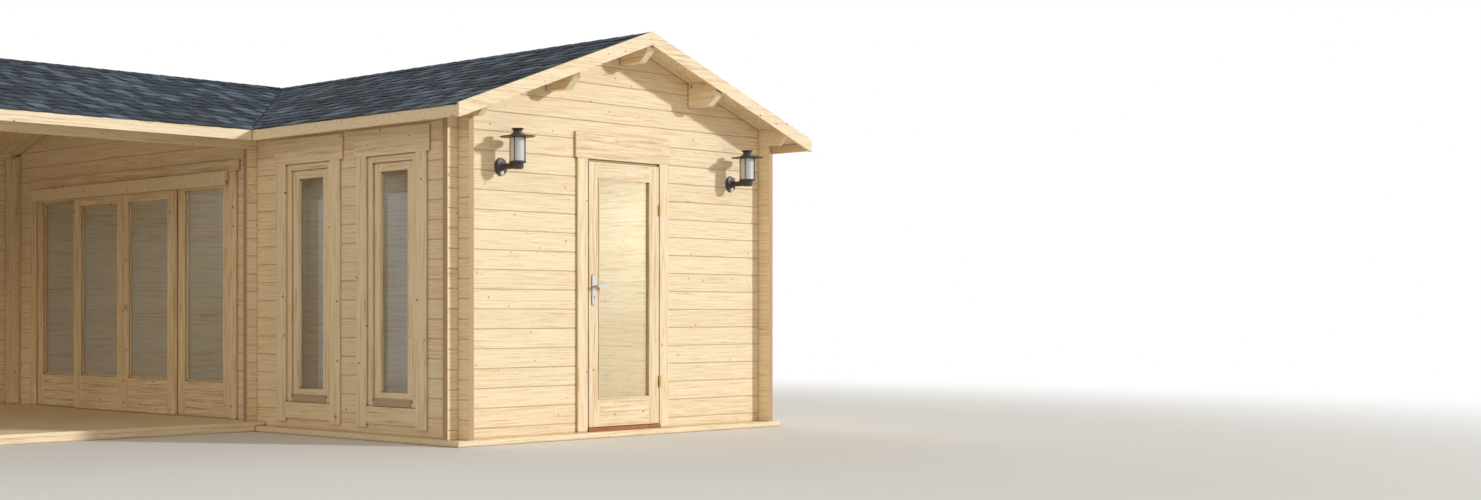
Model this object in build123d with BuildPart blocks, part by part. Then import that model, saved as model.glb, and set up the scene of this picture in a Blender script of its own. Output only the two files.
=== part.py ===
from build123d import *
from math import ceil
import os

# Log cabin with a covered porch. A long room with a gable at each end stands
# beside a square porch whose own ridge runs into the room's roof. The origin is
# the outer wall corner at the front left of the room, on the ground. +X runs
# along the front gable, +Y from front to back and +Z up, all in millimetres.

# Plan and heights of the whole cabin
bay = 3400                  # width of the room and depth of the porch, wall face to wall face
wing_projection = 2100      # how far the room stands forward of the porch
porch_width = 3400          # from the room's wall to the open side of the porch
wall_height = 2300          # ground to the roof's underside at a wall's outer face
pitch = 0.33                # rise of the roof for each unit of run
overhang = 270              # roof beyond the walls, at eaves and at gables

# Logs
log_thickness = 45
log_height = 134
log_end = 100               # length of a log beyond the corner that it crosses
log_groove = 5              # bevel along both edges of each log

# Foundation and floors
foundation_height = 40
foundation_ledge = 50       # how far the beams reach inside the walls
room_floor_thickness = 20
porch_floor_thickness = 28
joist_width = 60
joist_spacing = 550
butt_gap = 0.6              # between boards or beams that meet end to end

# Roof
roof_board = 19             # measured straight up, as are the next sizes
shingle = 9
ridge_cap = 4
ridge_cap_reach = 130       # width of the ridge cap on each side
fascia_thickness = 18
fascia_height = 77
barge_rise = 30             # barge board above the roof's underside
barge_drop = 66             # barge board below the roof's underside
shingle_drip = 10           # shingles beyond the eave fascia
purlin_width = 70
purlin_depth = 183
purlin_run = 866            # from the wall's outer face to a side purlin
end_chamfer = 70            # lower corner of each purlin and wall plate

# Porch
post_width = 120
cover_board_width = 120
cover_board_thickness = 18
cover_board_gap = 36         # left above them, below the roof

# Trim boards around doors and windows
trim_thickness = 18
trim_gap = 0.5
trim_reveal = 5             # how far a trim stands back from the opening it frames

# Door in the front gable
door_width = 790
door_bottom = 72
door_top = 1962
door_thickness = 42
door_gap = 5
door_stile = 114
door_top_rail = 121
door_bottom_rail = 206
door_jamb = 50
door_trim_width = 105
door_header_height = 64
door_header_lap = 20
settling_gap = 87           # room left above a frame for the logs to settle
threshold_nose = 30
glass_thickness = 6
glass_rebate = 10           # depth of the rebate that holds a pane

# Hinges and handle of the front door
hinge_radius = 8
hinge_pin_radius = 4
hinge_pin_clearance = 0.3
hinge_knuckle = 40
hinge_leaf_width = 14
hinge_leaf_thickness = 3
hinge_low = 380
hinge_high = 1640
handle_height = 1076
handle_inset = 50           # from the door's free edge
plate_width = 40
plate_height = 214
plate_drop = 28             # centre of the plate below the lever
plate_thickness = 8
plate_corner = 6
keyhole_width = 8
keyhole_height = 20
lever_shaft_radius = 9
lever_clearance = 0.4
lever_reach = 46            # lever beyond the plate
lever_length = 128
lever_depth = 12
lever_width = 20

# Windows in the side wall
window_near = 632           # centres, from the front corner
window_far = 1506
window_pane_width = 270     # clear glass
window_pane_bottom = 331
window_pane_top = 1869
sash_width = 65
sash_back = 18              # sash face behind the wall's outer face
sash_depth = 40
window_frame_width = 75
window_trim_width = 102
window_trim_lap = 28        # trim over the frame
window_header_height = 54
window_header_lap = 26
window_board_height = 131
window_trim_foot = 85       # ground to the foot of the side trims
window_apron_height = 120
window_settling = 100
window_apron_lap = 40
drip_cap_rise = 24          # drip cap above the frame's lower rail
drip_cap_drop = 30          # its lip below that, in front of the rail
drip_cap_nose = 7
drip_cap_overlap = 47       # beyond the clear glass at each side

# Sliding doors between the room and the porch
slider_half = 1375          # half of the opening in the wall
slider_jamb = 50
slider_top = 1975
slider_head = 60
slider_sill = 50
fixed_pane_outer = 1282     # opening of a fixed panel, from the centre line
fixed_pane_inner = 797
fixed_pane_bottom = 359
fixed_pane_top = 1836
mullion_inner = 660
leaf_width = 699
leaf_thickness = 38
leaf_gap = 5                # leaf to the frame behind it and to the floor
leaf_top = 1900
leaf_stile = 80
leaf_pane_bottom = 366
leaf_pane_top = 1782
meeting_gap = 1             # each leaf back from the centre line
slider_trim_width = 90
slider_board_height = 86
slider_board_lap = 32
track_cover_height = 105
track_cover_thickness = 12
rail_width = 5
rail_height = 12
rail_clearance = 0.3
panel_boards = 4            # boards below each pane of the porch doors
panel_groove = 3            # width of the line between two boards
panel_groove_depth = 2
bead = 15                   # glazing bead, inside the opening of a porch pane
bead_setback = 12           # from the face of the leaf or panel to the bead

# Wall lanterns
lamp_inset = 410            # from the room's corners
lamp_height = 1876          # centre of the wall plate
lamp_reach = 155            # wall to the lantern's axis
lamp_plate_radius = 61
lamp_plate_depth = 24
lamp_arm_radius = 20
lamp_bottom = 1853
lamp_cup_radius = 41
lamp_cup_height = 41
lamp_base_thickness = 6     # disc that carries the bars and the glass
lamp_body_radius = 60
lamp_glass_height = 168
lamp_glass_radius = 52
lamp_bar = 6
lamp_bars = 4
lamp_hat_radius = 120
lamp_hat_thickness = 6
lamp_cap_radius = 42
lamp_cap_height = 54

# Places that follow from the sizes above
cabin_depth = wing_projection + bay
ridge_x = bay / 2
porch_ridge_y = wing_projection + bay / 2
ridge_height = wall_height + pitch * bay / 2
quarter_log = log_height / 4
roof_edge = overhang - fascia_thickness
courses = ceil((ridge_height - foundation_height) / log_height)
porch_floor_top = foundation_height + porch_floor_thickness
room_floor_top = foundation_height + room_floor_thickness
plate_bottom = foundation_height + (ceil((wall_height - foundation_height) / log_height) - 1) * log_height
slider_centre = wing_projection + bay / 2
open_x = -porch_width
post_x = open_x + log_thickness / 2
front_post_y = wing_projection + log_thickness / 2
back_post_y = cabin_depth - log_thickness / 2

# Undersides of the roof slopes
wing_left_roof = Plane(origin=(0, 0, wall_height), z_dir=(-pitch, 0, 1))
wing_right_roof = Plane(origin=(bay, 0, wall_height), z_dir=(pitch, 0, 1))
porch_front_roof = Plane(origin=(0, wing_projection, wall_height), z_dir=(0, -pitch, 1))
porch_back_roof = Plane(origin=(0, cabin_depth, wall_height), z_dir=(0, pitch, 1))

os.makedirs("parts", exist_ok=True)


def save(piece, name):
    """Label a finished piece and write it to its own file."""
    piece.part.label = name
    export_step(piece.part, "parts/" + name + ".step")


def raised(plane, rise):
    """The same slope, moved straight up."""
    return Plane(origin=plane.origin + Vector(0, 0, rise), z_dir=plane.z_dir)


def outline(plane, points):
    """A flat face with straight edges."""
    with BuildSketch(plane) as flat:
        with BuildLine():
            Polyline(*points, close=True)
        make_face()
    return flat.sketch


def box_between(low, high, mode=Mode.ADD):
    """A block given by its lowest and highest corner."""
    size = [b - a for a, b in zip(low, high)]
    middle = [(a + b) / 2 for a, b in zip(low, high)]
    with Locations(tuple(middle)):
        Box(*size, mode=mode)


def joint_below(height, first):
    """The joint between two logs at or next below a height."""
    return first + int((height - first + 0.01) // log_height) * log_height


# Logs along Y start whole on the foundation, logs along X with a half log, so
# that the corners interlock.
first_joint_y = foundation_height + log_height
first_joint_x = foundation_height + log_height / 2
front_split = joint_below(door_top + settling_gap + door_jamb + door_header_height, first_joint_x)
slider_split = joint_below(slider_top + settling_gap, first_joint_y)


def log_face(depth, bevel, low, high, first):
    """One face of a stack of logs, from the bottom up, bevelled along its joints."""
    joints = [first + n * log_height for n in range(courses + 1)]
    joints = [z for z in joints if low - 0.01 < z < high + 0.01] if bevel else []
    face = []
    if not joints or joints[0] > low + 0.01:
        face.append((depth, low))
    for z in joints:
        if z > low + 0.01:
            face.append((depth, z - log_groove))
        face.append((depth + bevel * log_groove, z))
        if z < high - 0.01:
            face.append((depth, z + log_groove))
    if not joints or joints[-1] < high - 0.01:
        face.append((depth, high))
    return face


def log_section(plane, low, high, first, bevels):
    """Section of a stack of logs. A room's inner faces are smooth, its outer ones bevelled."""
    near = log_face(0, bevels[0], low, high, first)
    far = log_face(log_thickness, -bevels[1], low, high, first)
    return outline(plane, near + far[::-1])


both_faces = (1, 1)
near_face = (1, 0)
far_face = (0, 1)
no_face = (0, 0)


def logs_along_y(x, y_start, y_end, low, high, bevels=both_faces):
    """A stack of logs that runs from front to back."""
    plane = Plane(origin=(x, y_start, 0), x_dir=(1, 0, 0), z_dir=(0, -1, 0))
    section = log_section(plane, low, high, first_joint_y, bevels)
    extrude(section, amount=y_end - y_start, dir=(0, 1, 0))


def logs_along_x(y, x_start, x_end, low, high, bevels=both_faces):
    """A stack of logs that runs from left to right."""
    plane = Plane(origin=(x_start, y, 0), x_dir=(0, 1, 0), z_dir=(1, 0, 0))
    section = log_section(plane, low, high, first_joint_x, bevels)
    extrude(section, amount=x_end - x_start, dir=(1, 0, 0))


def notch_logs_y(x, y):
    """Cut the quarter notches of logs along Y where logs along X cross them."""
    steps = [foundation_height + 3 * quarter_log + n * log_height for n in range(-1, courses)]
    middle = [(x + log_thickness / 2, y + log_thickness / 2, z + quarter_log) for z in steps]
    with Locations(*middle):
        Box(log_thickness, log_thickness, 2 * quarter_log, mode=Mode.SUBTRACT)


def notch_logs_x(x, y):
    """Cut the quarter notches of logs along X where logs along Y cross them."""
    steps = [foundation_height + quarter_log + n * log_height for n in range(courses)]
    middle = [(x + log_thickness / 2, y + log_thickness / 2, z + quarter_log) for z in steps]
    with Locations(*middle):
        Box(log_thickness, log_thickness, 2 * quarter_log, mode=Mode.SUBTRACT)


def chamfer_end_y(x, width, end, inward, bottom):
    """Bevel the lower corner at the end of a member along Y."""
    corner = [(end, bottom), (end + inward * end_chamfer, bottom), (end, bottom + end_chamfer)]
    extrude(outline(Plane.YZ.offset(x), corner), amount=width, dir=(1, 0, 0), mode=Mode.SUBTRACT)


def chamfer_end_x(y, width, end, inward, bottom):
    """Bevel the lower corner at the end of a member along X."""
    corner = [(end, bottom), (end + inward * end_chamfer, bottom), (end, bottom + end_chamfer)]
    extrude(outline(Plane.XZ.offset(-y), corner), amount=width, dir=(0, 1, 0), mode=Mode.SUBTRACT)


def under(run):
    """Height of the roof's underside at a distance inside a wall's outer face."""
    return wall_height + pitch * run


# Purlins, as seen along each ridge: their low sides, from a wall's outer face
side_purlin_bottom = under(purlin_run + purlin_width) - purlin_depth
ridge_purlin_bottom = ridge_height - purlin_depth
purlin_places = [
    (purlin_run, side_purlin_bottom),
    (bay / 2 - purlin_width / 2, ridge_purlin_bottom),
    (bay - purlin_run - purlin_width, side_purlin_bottom),
]


def purlin_holes_y(y):
    """Openings for the room's purlins in a wall along X."""
    for x, bottom in purlin_places:
        low = (x, y, bottom)
        box_between(low, (x + purlin_width, y + log_thickness, ridge_height), Mode.SUBTRACT)


def purlin_holes_x(x):
    """Openings for the porch's purlins in a wall along Y."""
    for run, bottom in purlin_places:
        y = wing_projection + run
        box_between((x, y, bottom), (x + log_thickness, y + purlin_width, ridge_height), Mode.SUBTRACT)


# Foundation beams: flush with the log ends outside, with a ledge for the floors
outer = log_end
inner = log_thickness + foundation_ledge
beam_runs_y = [
    (-outer, inner, -outer, cabin_depth + outer),
    (bay - inner, bay + outer, -outer, cabin_depth + outer),
    (-porch_width - outer, -porch_width + inner, wing_projection - outer, cabin_depth + outer),
]
beam_runs_x = [
    (inner, bay - inner, -outer, inner),
    (inner, bay - inner, wing_projection - outer, wing_projection + inner),
    (inner, bay - inner, cabin_depth - inner, cabin_depth + outer),
    (-porch_width + inner, -outer, wing_projection - outer, wing_projection + inner),
    (-porch_width + inner, -outer, cabin_depth - inner, cabin_depth + outer),
]

with BuildPart() as foundation_beams:
    for x_low, x_high, y_low, y_high in beam_runs_y:
        box_between((x_low, y_low, 0), (x_high, y_high, foundation_height))
    for x_low, x_high, y_low, y_high in beam_runs_x:
        box_between((x_low + butt_gap, y_low, 0), (x_high - butt_gap, y_high, foundation_height))
save(foundation_beams, "foundation_beams")


def joists(x_low, x_high, y_low, y_high):
    """Bearers under a floor, along X, evenly spread between two beams."""
    count = max(1, ceil((y_high - y_low) / joist_spacing) - 1)
    step = (y_high - y_low) / (count + 1)
    for n in range(count):
        y = y_low + (n + 1) * step - joist_width / 2
        low = (x_low + butt_gap, y, 0)
        box_between(low, (x_high - butt_gap, y + joist_width, foundation_height))


with BuildPart() as floor_joists:
    joists(inner, bay - inner, inner, wing_projection - outer)
    joists(inner, bay - inner, wing_projection + inner, cabin_depth - inner)
    joists(-porch_width + inner, -outer, wing_projection + inner, cabin_depth - inner)
save(floor_joists, "floor_joists")

# Floors, notched round the short crossing logs and the porch's back post
with BuildPart() as room_floor:
    box_between(
        (log_thickness, log_thickness, foundation_height),
        (bay - log_thickness, cabin_depth - log_thickness, room_floor_top),
    )
    box_between(
        (log_thickness, wing_projection, foundation_height),
        (log_thickness + log_end, wing_projection + log_thickness, room_floor_top),
        Mode.SUBTRACT,
    )
save(room_floor, "room_floor")

with BuildPart() as porch_floor:
    box_between(
        (-porch_width - log_end, wing_projection - log_end, foundation_height),
        (0, cabin_depth - log_thickness, porch_floor_top),
    )
    box_between(
        (-log_end, wing_projection, foundation_height),
        (0, wing_projection + log_thickness, porch_floor_top),
        Mode.SUBTRACT,
    )
    box_between(
        (post_x - post_width / 2, back_post_y - post_width / 2, foundation_height),
        (post_x + post_width / 2, cabin_depth - log_thickness, porch_floor_top),
        Mode.SUBTRACT,
    )
save(porch_floor, "porch_floor")

# Front gable wall: a pier each side of the door and the gable above it
door_centre = bay / 2
door_left = door_centre - door_width / 2
door_right = door_centre + door_width / 2
door_hole_left = door_left - door_gap - door_jamb
door_hole_right = door_right + door_gap + door_jamb

with BuildPart() as front_wall_left:
    logs_along_x(0, -log_end, door_hole_left, foundation_height, front_split, near_face)
    notch_logs_x(0, 0)
save(front_wall_left, "front_wall_left")

with BuildPart() as front_wall_right:
    logs_along_x(0, door_hole_right, bay + log_end, foundation_height, front_split, near_face)
    notch_logs_x(bay - log_thickness, 0)
save(front_wall_right, "front_wall_right")

with BuildPart() as front_gable:
    logs_along_x(0, -log_end, bay + log_end, front_split, ridge_height + 1, near_face)
    split(bisect_by=wing_left_roof, keep=Keep.BOTTOM)
    split(bisect_by=wing_right_roof, keep=Keep.BOTTOM)
    notch_logs_x(0, 0)
    notch_logs_x(bay - log_thickness, 0)
    purlin_holes_y(0)
save(front_gable, "front_gable")

# Rear gable wall, closed
rear_y = cabin_depth - log_thickness
with BuildPart() as rear_gable_wall:
    logs_along_x(rear_y, -log_end, bay + log_end, foundation_height, ridge_height + 1, far_face)
    split(bisect_by=wing_left_roof, keep=Keep.BOTTOM)
    split(bisect_by=wing_right_roof, keep=Keep.BOTTOM)
    notch_logs_x(0, rear_y)
    notch_logs_x(bay - log_thickness, rear_y)
    purlin_holes_y(rear_y)
save(rear_gable_wall, "rear_gable_wall")

# Right-hand wall, closed, with its top log carried out under both gable eaves
plate_front = -roof_edge
plate_back = cabin_depth + roof_edge
right_x = bay - log_thickness
with BuildPart() as right_wall:
    plate_top = plate_bottom + log_height
    logs_along_y(right_x, -log_end, cabin_depth + log_end, foundation_height, plate_top, far_face)
    box_between((right_x, plate_front, plate_bottom), (bay, 0, plate_bottom + log_height))
    box_between((right_x, cabin_depth, plate_bottom), (bay, plate_back, plate_bottom + log_height))
    split(bisect_by=wing_right_roof, keep=Keep.BOTTOM)
    chamfer_end_y(right_x, log_thickness, plate_front, 1, plate_bottom)
    chamfer_end_y(right_x, log_thickness, plate_back, -1, plate_bottom)
    for y in (0, rear_y):
        notch_logs_y(right_x, y)
save(right_wall, "right_wall")

# Side wall with the two tall windows
window_hole_half = window_pane_width / 2 + sash_width + window_frame_width
window_hole_low = window_pane_bottom - sash_width - window_frame_width
window_frame_top = window_pane_top + sash_width + window_frame_width
window_hole_top = window_frame_top + window_settling
crossing_end = wing_projection + log_thickness

with BuildPart() as window_wall:
    logs_along_y(0, -log_end, crossing_end, foundation_height, plate_bottom + log_height, near_face)
    box_between((0, plate_front, plate_bottom), (log_thickness, 0, plate_bottom + log_height))
    split(bisect_by=wing_left_roof, keep=Keep.BOTTOM)
    chamfer_end_y(0, log_thickness, plate_front, 1, plate_bottom)
    for y in (0, wing_projection):
        notch_logs_y(0, y)
    for centre in (window_near, window_far):
        box_between(
            (0, centre - window_hole_half, window_hole_low),
            (log_thickness, centre + window_hole_half, window_hole_top),
            Mode.SUBTRACT,
        )
save(window_wall, "window_wall")

# Wall between the room and the porch: a pier each side of the sliding doors,
# and above them a gable that closes the room's roof space
slider_near = slider_centre - slider_half
slider_far = slider_centre + slider_half

with BuildPart() as porch_pier_near:
    logs_along_y(0, crossing_end, slider_near, foundation_height, slider_split, near_face)
save(porch_pier_near, "porch_pier_near")

with BuildPart() as porch_pier_far:
    logs_along_y(0, slider_far, cabin_depth + log_end, foundation_height, slider_split, near_face)
    notch_logs_y(0, rear_y)
save(porch_pier_far, "porch_pier_far")

with BuildPart() as porch_inner_gable:
    logs_along_y(0, crossing_end, cabin_depth, slider_split, ridge_height + 1, near_face)
    split(bisect_by=porch_front_roof, keep=Keep.BOTTOM)
    split(bisect_by=porch_back_roof, keep=Keep.BOTTOM)
    logs_along_y(0, cabin_depth - log_thickness, cabin_depth + log_end, slider_split, wall_height, near_face)
    box_between((0, rear_y, plate_bottom), (log_thickness, plate_back, wall_height))
    chamfer_end_y(0, log_thickness, plate_back, -1, plate_bottom)
    notch_logs_y(0, rear_y)
    purlin_holes_x(0)
save(porch_inner_gable, "porch_inner_gable")

# Short crossing logs where the porch beam's line meets the room's left wall
beam_bottom = joint_below(wall_height - log_height, first_joint_x)
tie_bottom = slider_split

with BuildPart() as crossing_logs_left:
    logs_along_x(wing_projection, -log_end, log_thickness, foundation_height, beam_bottom)
    logs_along_x(wing_projection, 0, log_thickness + log_end, foundation_height, wall_height, no_face)
    split(bisect_by=wing_left_roof, keep=Keep.BOTTOM)
    notch_logs_x(0, wing_projection)
save(crossing_logs_left, "crossing_logs_left")

# Closed back wall of the porch, butted to the room's log ends and to the back
# post. Only its logs above the post run out past the corner.
plate_left = open_x - roof_edge
with BuildPart() as porch_back_wall:
    logs_along_x(rear_y, open_x - log_end, -log_end, foundation_height, wall_height + log_height)
    box_between((plate_left, rear_y, beam_bottom), (open_x, cabin_depth, wall_height + log_height))
    split(bisect_by=porch_back_roof, keep=Keep.BOTTOM)
    chamfer_end_x(rear_y, log_thickness, plate_left, 1, beam_bottom)
    notch_logs_x(open_x, rear_y)
    box_between(
        (open_x - log_end, rear_y, foundation_height),
        (post_x + post_width / 2, cabin_depth, tie_bottom),
        Mode.SUBTRACT,
    )
save(porch_back_wall, "porch_back_wall")

# Upright boards over the joint between that wall and the room
cover_x = -log_end - cover_board_width / 2
with BuildPart() as cover_boards:
    for y in (rear_y - cover_board_thickness, cabin_depth):
        low = porch_floor_top if y < rear_y else foundation_height
        box_between(
            (cover_x, y, low),
            (cover_x + cover_board_width, y + cover_board_thickness, wall_height - cover_board_gap),
        )
    split(bisect_by=porch_back_roof, keep=Keep.BOTTOM)
save(cover_boards, "cover_boards")

# Front beam of the porch, the gable over its open side and its two corner posts
with BuildPart() as porch_beam:
    logs_along_x(wing_projection, plate_left, 0, beam_bottom, wall_height + log_height)
    split(bisect_by=porch_front_roof, keep=Keep.BOTTOM)
    chamfer_end_x(wing_projection, log_thickness, plate_left, 1, beam_bottom)
    notch_logs_x(open_x, wing_projection)
save(porch_beam, "porch_beam")

with BuildPart() as porch_gable:
    logs_along_y(open_x, wing_projection - log_end, cabin_depth + log_end, tie_bottom, ridge_height + 1)
    split(bisect_by=porch_front_roof, keep=Keep.BOTTOM)
    split(bisect_by=porch_back_roof, keep=Keep.BOTTOM)
    notch_logs_y(open_x, wing_projection)
    notch_logs_y(open_x, rear_y)
    purlin_holes_x(open_x)
save(porch_gable, "porch_gable")

with BuildPart() as porch_posts:
    for y, foot in ((front_post_y, porch_floor_top), (back_post_y, foundation_height)):
        box_between(
            (post_x - post_width / 2, y - post_width / 2, foot),
            (post_x + post_width / 2, y + post_width / 2, tie_bottom),
        )
save(porch_posts, "porch_posts")

# Purlins, bevelled on top to the roof and chamfered at their ends
with BuildPart() as room_purlins:
    for x, bottom in purlin_places:
        box_between((x, plate_front, bottom), (x + purlin_width, plate_back, ridge_height))
        chamfer_end_y(x, purlin_width, plate_front, 1, bottom)
        chamfer_end_y(x, purlin_width, plate_back, -1, bottom)
    split(bisect_by=wing_left_roof, keep=Keep.BOTTOM)
    split(bisect_by=wing_right_roof, keep=Keep.BOTTOM)
save(room_purlins, "room_purlins")

with BuildPart() as porch_purlins:
    for run, bottom in purlin_places:
        y = wing_projection + run
        inner_end = purlin_run if bottom == side_purlin_bottom else ridge_x - purlin_width / 2
        box_between((plate_left, y, bottom), (inner_end, y + purlin_width, ridge_height))
        chamfer_end_x(y, purlin_width, plate_left, 1, bottom)
    split(bisect_by=porch_front_roof, keep=Keep.BOTTOM)
    split(bisect_by=porch_back_roof, keep=Keep.BOTTOM)
save(porch_purlins, "porch_purlins")


def slopes(eave, gable, gap):
    """Plan of each roof slope, with its own underside. The valleys run at 45 degrees."""
    peak = ridge_x - gap
    front = porch_ridge_y - gap
    back = porch_ridge_y + gap
    west = open_x - gable
    rear = cabin_depth + gable
    return {
        "wing_left": (
            wing_left_roof,
            [(-eave, -gable), (peak, -gable), (peak, front), (-eave, wing_projection - eave)],
        ),
        "wing_back": (
            wing_left_roof,
            [(peak, back + 2 * gap), (peak, rear), (-gable + 2 * gap, rear)],
        ),
        "wing_right": (
            wing_right_roof,
            [(ridge_x + gap, -gable), (bay + eave, -gable), (bay + eave, rear), (ridge_x + gap, rear)],
        ),
        "porch_front": (
            porch_front_roof,
            [(west, wing_projection - eave), (-eave, wing_projection - eave), (peak, front), (west, front)],
        ),
        "porch_back": (
            porch_back_roof,
            [(west, back), (peak, back), (-gable, rear), (west, rear)],
        ),
        "porch_drip": (
            porch_back_roof,
            [(west, back), (-overhang, back), (-overhang, cabin_depth + eave), (west, cabin_depth + eave)],
        ),
    }


def roof_layer(slope, low, high):
    """One flat layer of the roof between two heights above its underside."""
    plane, plan = slope
    with BuildPart() as layer:
        with BuildSketch(Plane.XY.offset(wall_height - overhang)):
            with BuildLine():
                Polyline(*plan, close=True)
            make_face()
        extrude(amount=ridge_height)
        split(bisect_by=raised(plane, low), keep=Keep.TOP)
        split(bisect_by=raised(plane, high), keep=Keep.BOTTOM)
    return layer.part


# Roof boards
board_slopes = slopes(roof_edge, roof_edge, butt_gap / 2)
room_boards = [roof_layer(board_slopes[name], 0, roof_board) for name in ("wing_left", "wing_back", "wing_right")]
porch_boards = [roof_layer(board_slopes[name], 0, roof_board) for name in ("porch_front", "porch_back")]

with BuildPart() as room_roof_boards:
    add(room_boards)
save(room_roof_boards, "room_roof_boards")

with BuildPart() as porch_roof_boards:
    add(porch_boards)
save(porch_roof_boards, "porch_roof_boards")

# Shingle covering, one skin over all slopes, and its ridge caps
shingle_top = roof_board + shingle
shingle_slopes = slopes(overhang + shingle_drip, roof_edge, 0)
shingle_layers = [roof_layer(slope, roof_board, shingle_top) for slope in shingle_slopes.values()]

with BuildPart() as roof_shingles:
    add(shingle_layers)
save(roof_shingles, "roof_shingles")

cap_fall = pitch * ridge_cap_reach
cap_low = ridge_height + shingle_top
cap_points = [
    (-ridge_cap_reach, cap_low - cap_fall),
    (0, cap_low),
    (ridge_cap_reach, cap_low - cap_fall),
    (ridge_cap_reach, cap_low - cap_fall + ridge_cap),
    (0, cap_low + ridge_cap),
    (-ridge_cap_reach, cap_low - cap_fall + ridge_cap),
]
room_cap_plane = Plane(origin=(ridge_x, -roof_edge, 0), x_dir=(1, 0, 0), z_dir=(0, -1, 0))
porch_cap_plane = Plane(origin=(open_x - roof_edge, porch_ridge_y, 0), x_dir=(0, 1, 0), z_dir=(1, 0, 0))
with BuildPart() as ridge_caps:
    extrude(outline(room_cap_plane, cap_points), amount=cabin_depth + 2 * roof_edge, dir=(0, 1, 0))
    cap_run = ridge_x - open_x + roof_edge
    extrude(outline(porch_cap_plane, cap_points), amount=cap_run, dir=(1, 0, 0))
    for slope in shingle_slopes.values():
        add(roof_layer(slope, -ridge_cap_reach, shingle_top), mode=Mode.SUBTRACT)
save(ridge_caps, "ridge_caps")


def barge_points(start, peak, end):
    """Face of a pair of barge boards, as two outlines that almost meet at the peak."""
    half = butt_gap / 2
    height = {start: under(-overhang), peak: ridge_height, end: under(-overhang)}
    boards = []
    for foot, top in ((start, peak - half), (end, peak + half)):
        low = height[foot]
        boards.append([
            (foot, low - barge_drop),
            (top, height[peak] - barge_drop),
            (top, height[peak] + barge_rise),
            (foot, low + barge_rise),
        ])
    return boards


# Barge boards along the three gables
room_barges = barge_points(-overhang, ridge_x, bay + overhang)
for name, y in (("front_barge_boards", -overhang), ("rear_barge_boards", cabin_depth + roof_edge)):
    with BuildPart() as barge_boards:
        for points in room_barges:
            extrude(outline(Plane.XZ.offset(-y), points), amount=fascia_thickness, dir=(0, 1, 0))
    save(barge_boards, name)

porch_barge_runs = barge_points(wing_projection - overhang, porch_ridge_y, cabin_depth + overhang)
with BuildPart() as porch_barge_boards:
    for points in porch_barge_runs:
        plane = Plane.YZ.offset(open_x - overhang)
        extrude(outline(plane, points), amount=fascia_thickness, dir=(1, 0, 0))
save(porch_barge_boards, "porch_barge_boards")

# Fascia boards along the eaves
fascia_top = under(-overhang) + roof_board
fascia_low = fascia_top - fascia_height
with BuildPart() as eave_fascias:
    for x, y_end in ((-overhang, wing_projection - roof_edge), (bay + roof_edge, cabin_depth + roof_edge)):
        box_between((x, -roof_edge, fascia_low), (x + fascia_thickness, y_end, fascia_top))
    for y in (wing_projection - overhang, cabin_depth + roof_edge):
        box_between(
            (open_x - roof_edge, y, fascia_low),
            (-overhang - butt_gap, y + fascia_thickness, fascia_top),
        )
save(eave_fascias, "eave_fascias")

# Frame, stop and threshold of the front door
jamb_inner_left = door_left - door_gap
jamb_inner_right = door_right + door_gap
head_low = door_top + door_gap
head_top = head_low + door_jamb + door_gap
door_back = -trim_thickness + door_thickness
stop_front = door_back + door_gap
threshold_top = door_bottom - door_gap

with BuildPart() as door_frame:
    box_between((door_hole_left, 0, foundation_height), (door_hole_right, log_thickness, head_top))
    box_between((jamb_inner_left, 0, foundation_height), (jamb_inner_right, log_thickness, head_low), Mode.SUBTRACT)
    stop = door_gap + trim_thickness
    box_between((jamb_inner_left, stop_front, threshold_top), (jamb_inner_right, log_thickness, head_low))
    box_between(
        (jamb_inner_left + stop, stop_front, threshold_top),
        (jamb_inner_right - stop, log_thickness, head_low - stop),
        Mode.SUBTRACT,
    )
save(door_frame, "door_frame")

with BuildPart() as door_threshold:
    box_between(
        (jamb_inner_left, -threshold_nose, foundation_height),
        (jamb_inner_right, log_thickness, threshold_top),
    )
save(door_threshold, "door_threshold")


def door_trim_boards(y):
    """Side boards, header and settling board on one face of the front wall."""
    header_low = head_low + 3 * trim_reveal
    header_top = header_low + door_header_height
    side = door_width / 2 + door_gap + trim_reveal
    reach = side + door_trim_width + door_header_lap
    back = y + trim_thickness
    for left in (-side - door_trim_width, side):
        x = door_centre + left
        box_between((x, y, foundation_height), (x + door_trim_width, back, header_low - trim_gap))
    box_between((door_centre - reach, y, header_low), (door_centre + reach, back, header_top - trim_gap))
    board_top = front_split + door_trim_width / 2
    box_between((door_centre - reach, y, header_top), (door_centre + reach, back, board_top))


with BuildPart() as door_trim:
    door_trim_boards(-trim_thickness)
save(door_trim, "door_trim")


def pane_rebate(low, high, axis_low, axis_high, axis):
    """Corners of the rebate that holds a pane, a little larger than the clear opening."""
    grown_low = [v - glass_rebate for v in low]
    grown_high = [v + glass_rebate for v in high]
    grown_low.insert(axis, axis_low)
    grown_high.insert(axis, axis_high)
    return tuple(grown_low), tuple(grown_high)


# Door leaf: stiles and rails round one tall pane, rebated from inside
door_front = -trim_thickness
pane_low = (door_left + door_stile, door_bottom + door_bottom_rail)
pane_high = (door_right - door_stile, door_top - door_top_rail)
pane_front = (door_front + door_back) / 2
handle_x = door_left + handle_inset
lever_axis = Plane(origin=(handle_x, door_front - plate_thickness - lever_reach, handle_height),
                   x_dir=(1, 0, 0), z_dir=(0, 1, 0))
lever_span = door_thickness + 2 * plate_thickness + 2 * lever_reach

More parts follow.
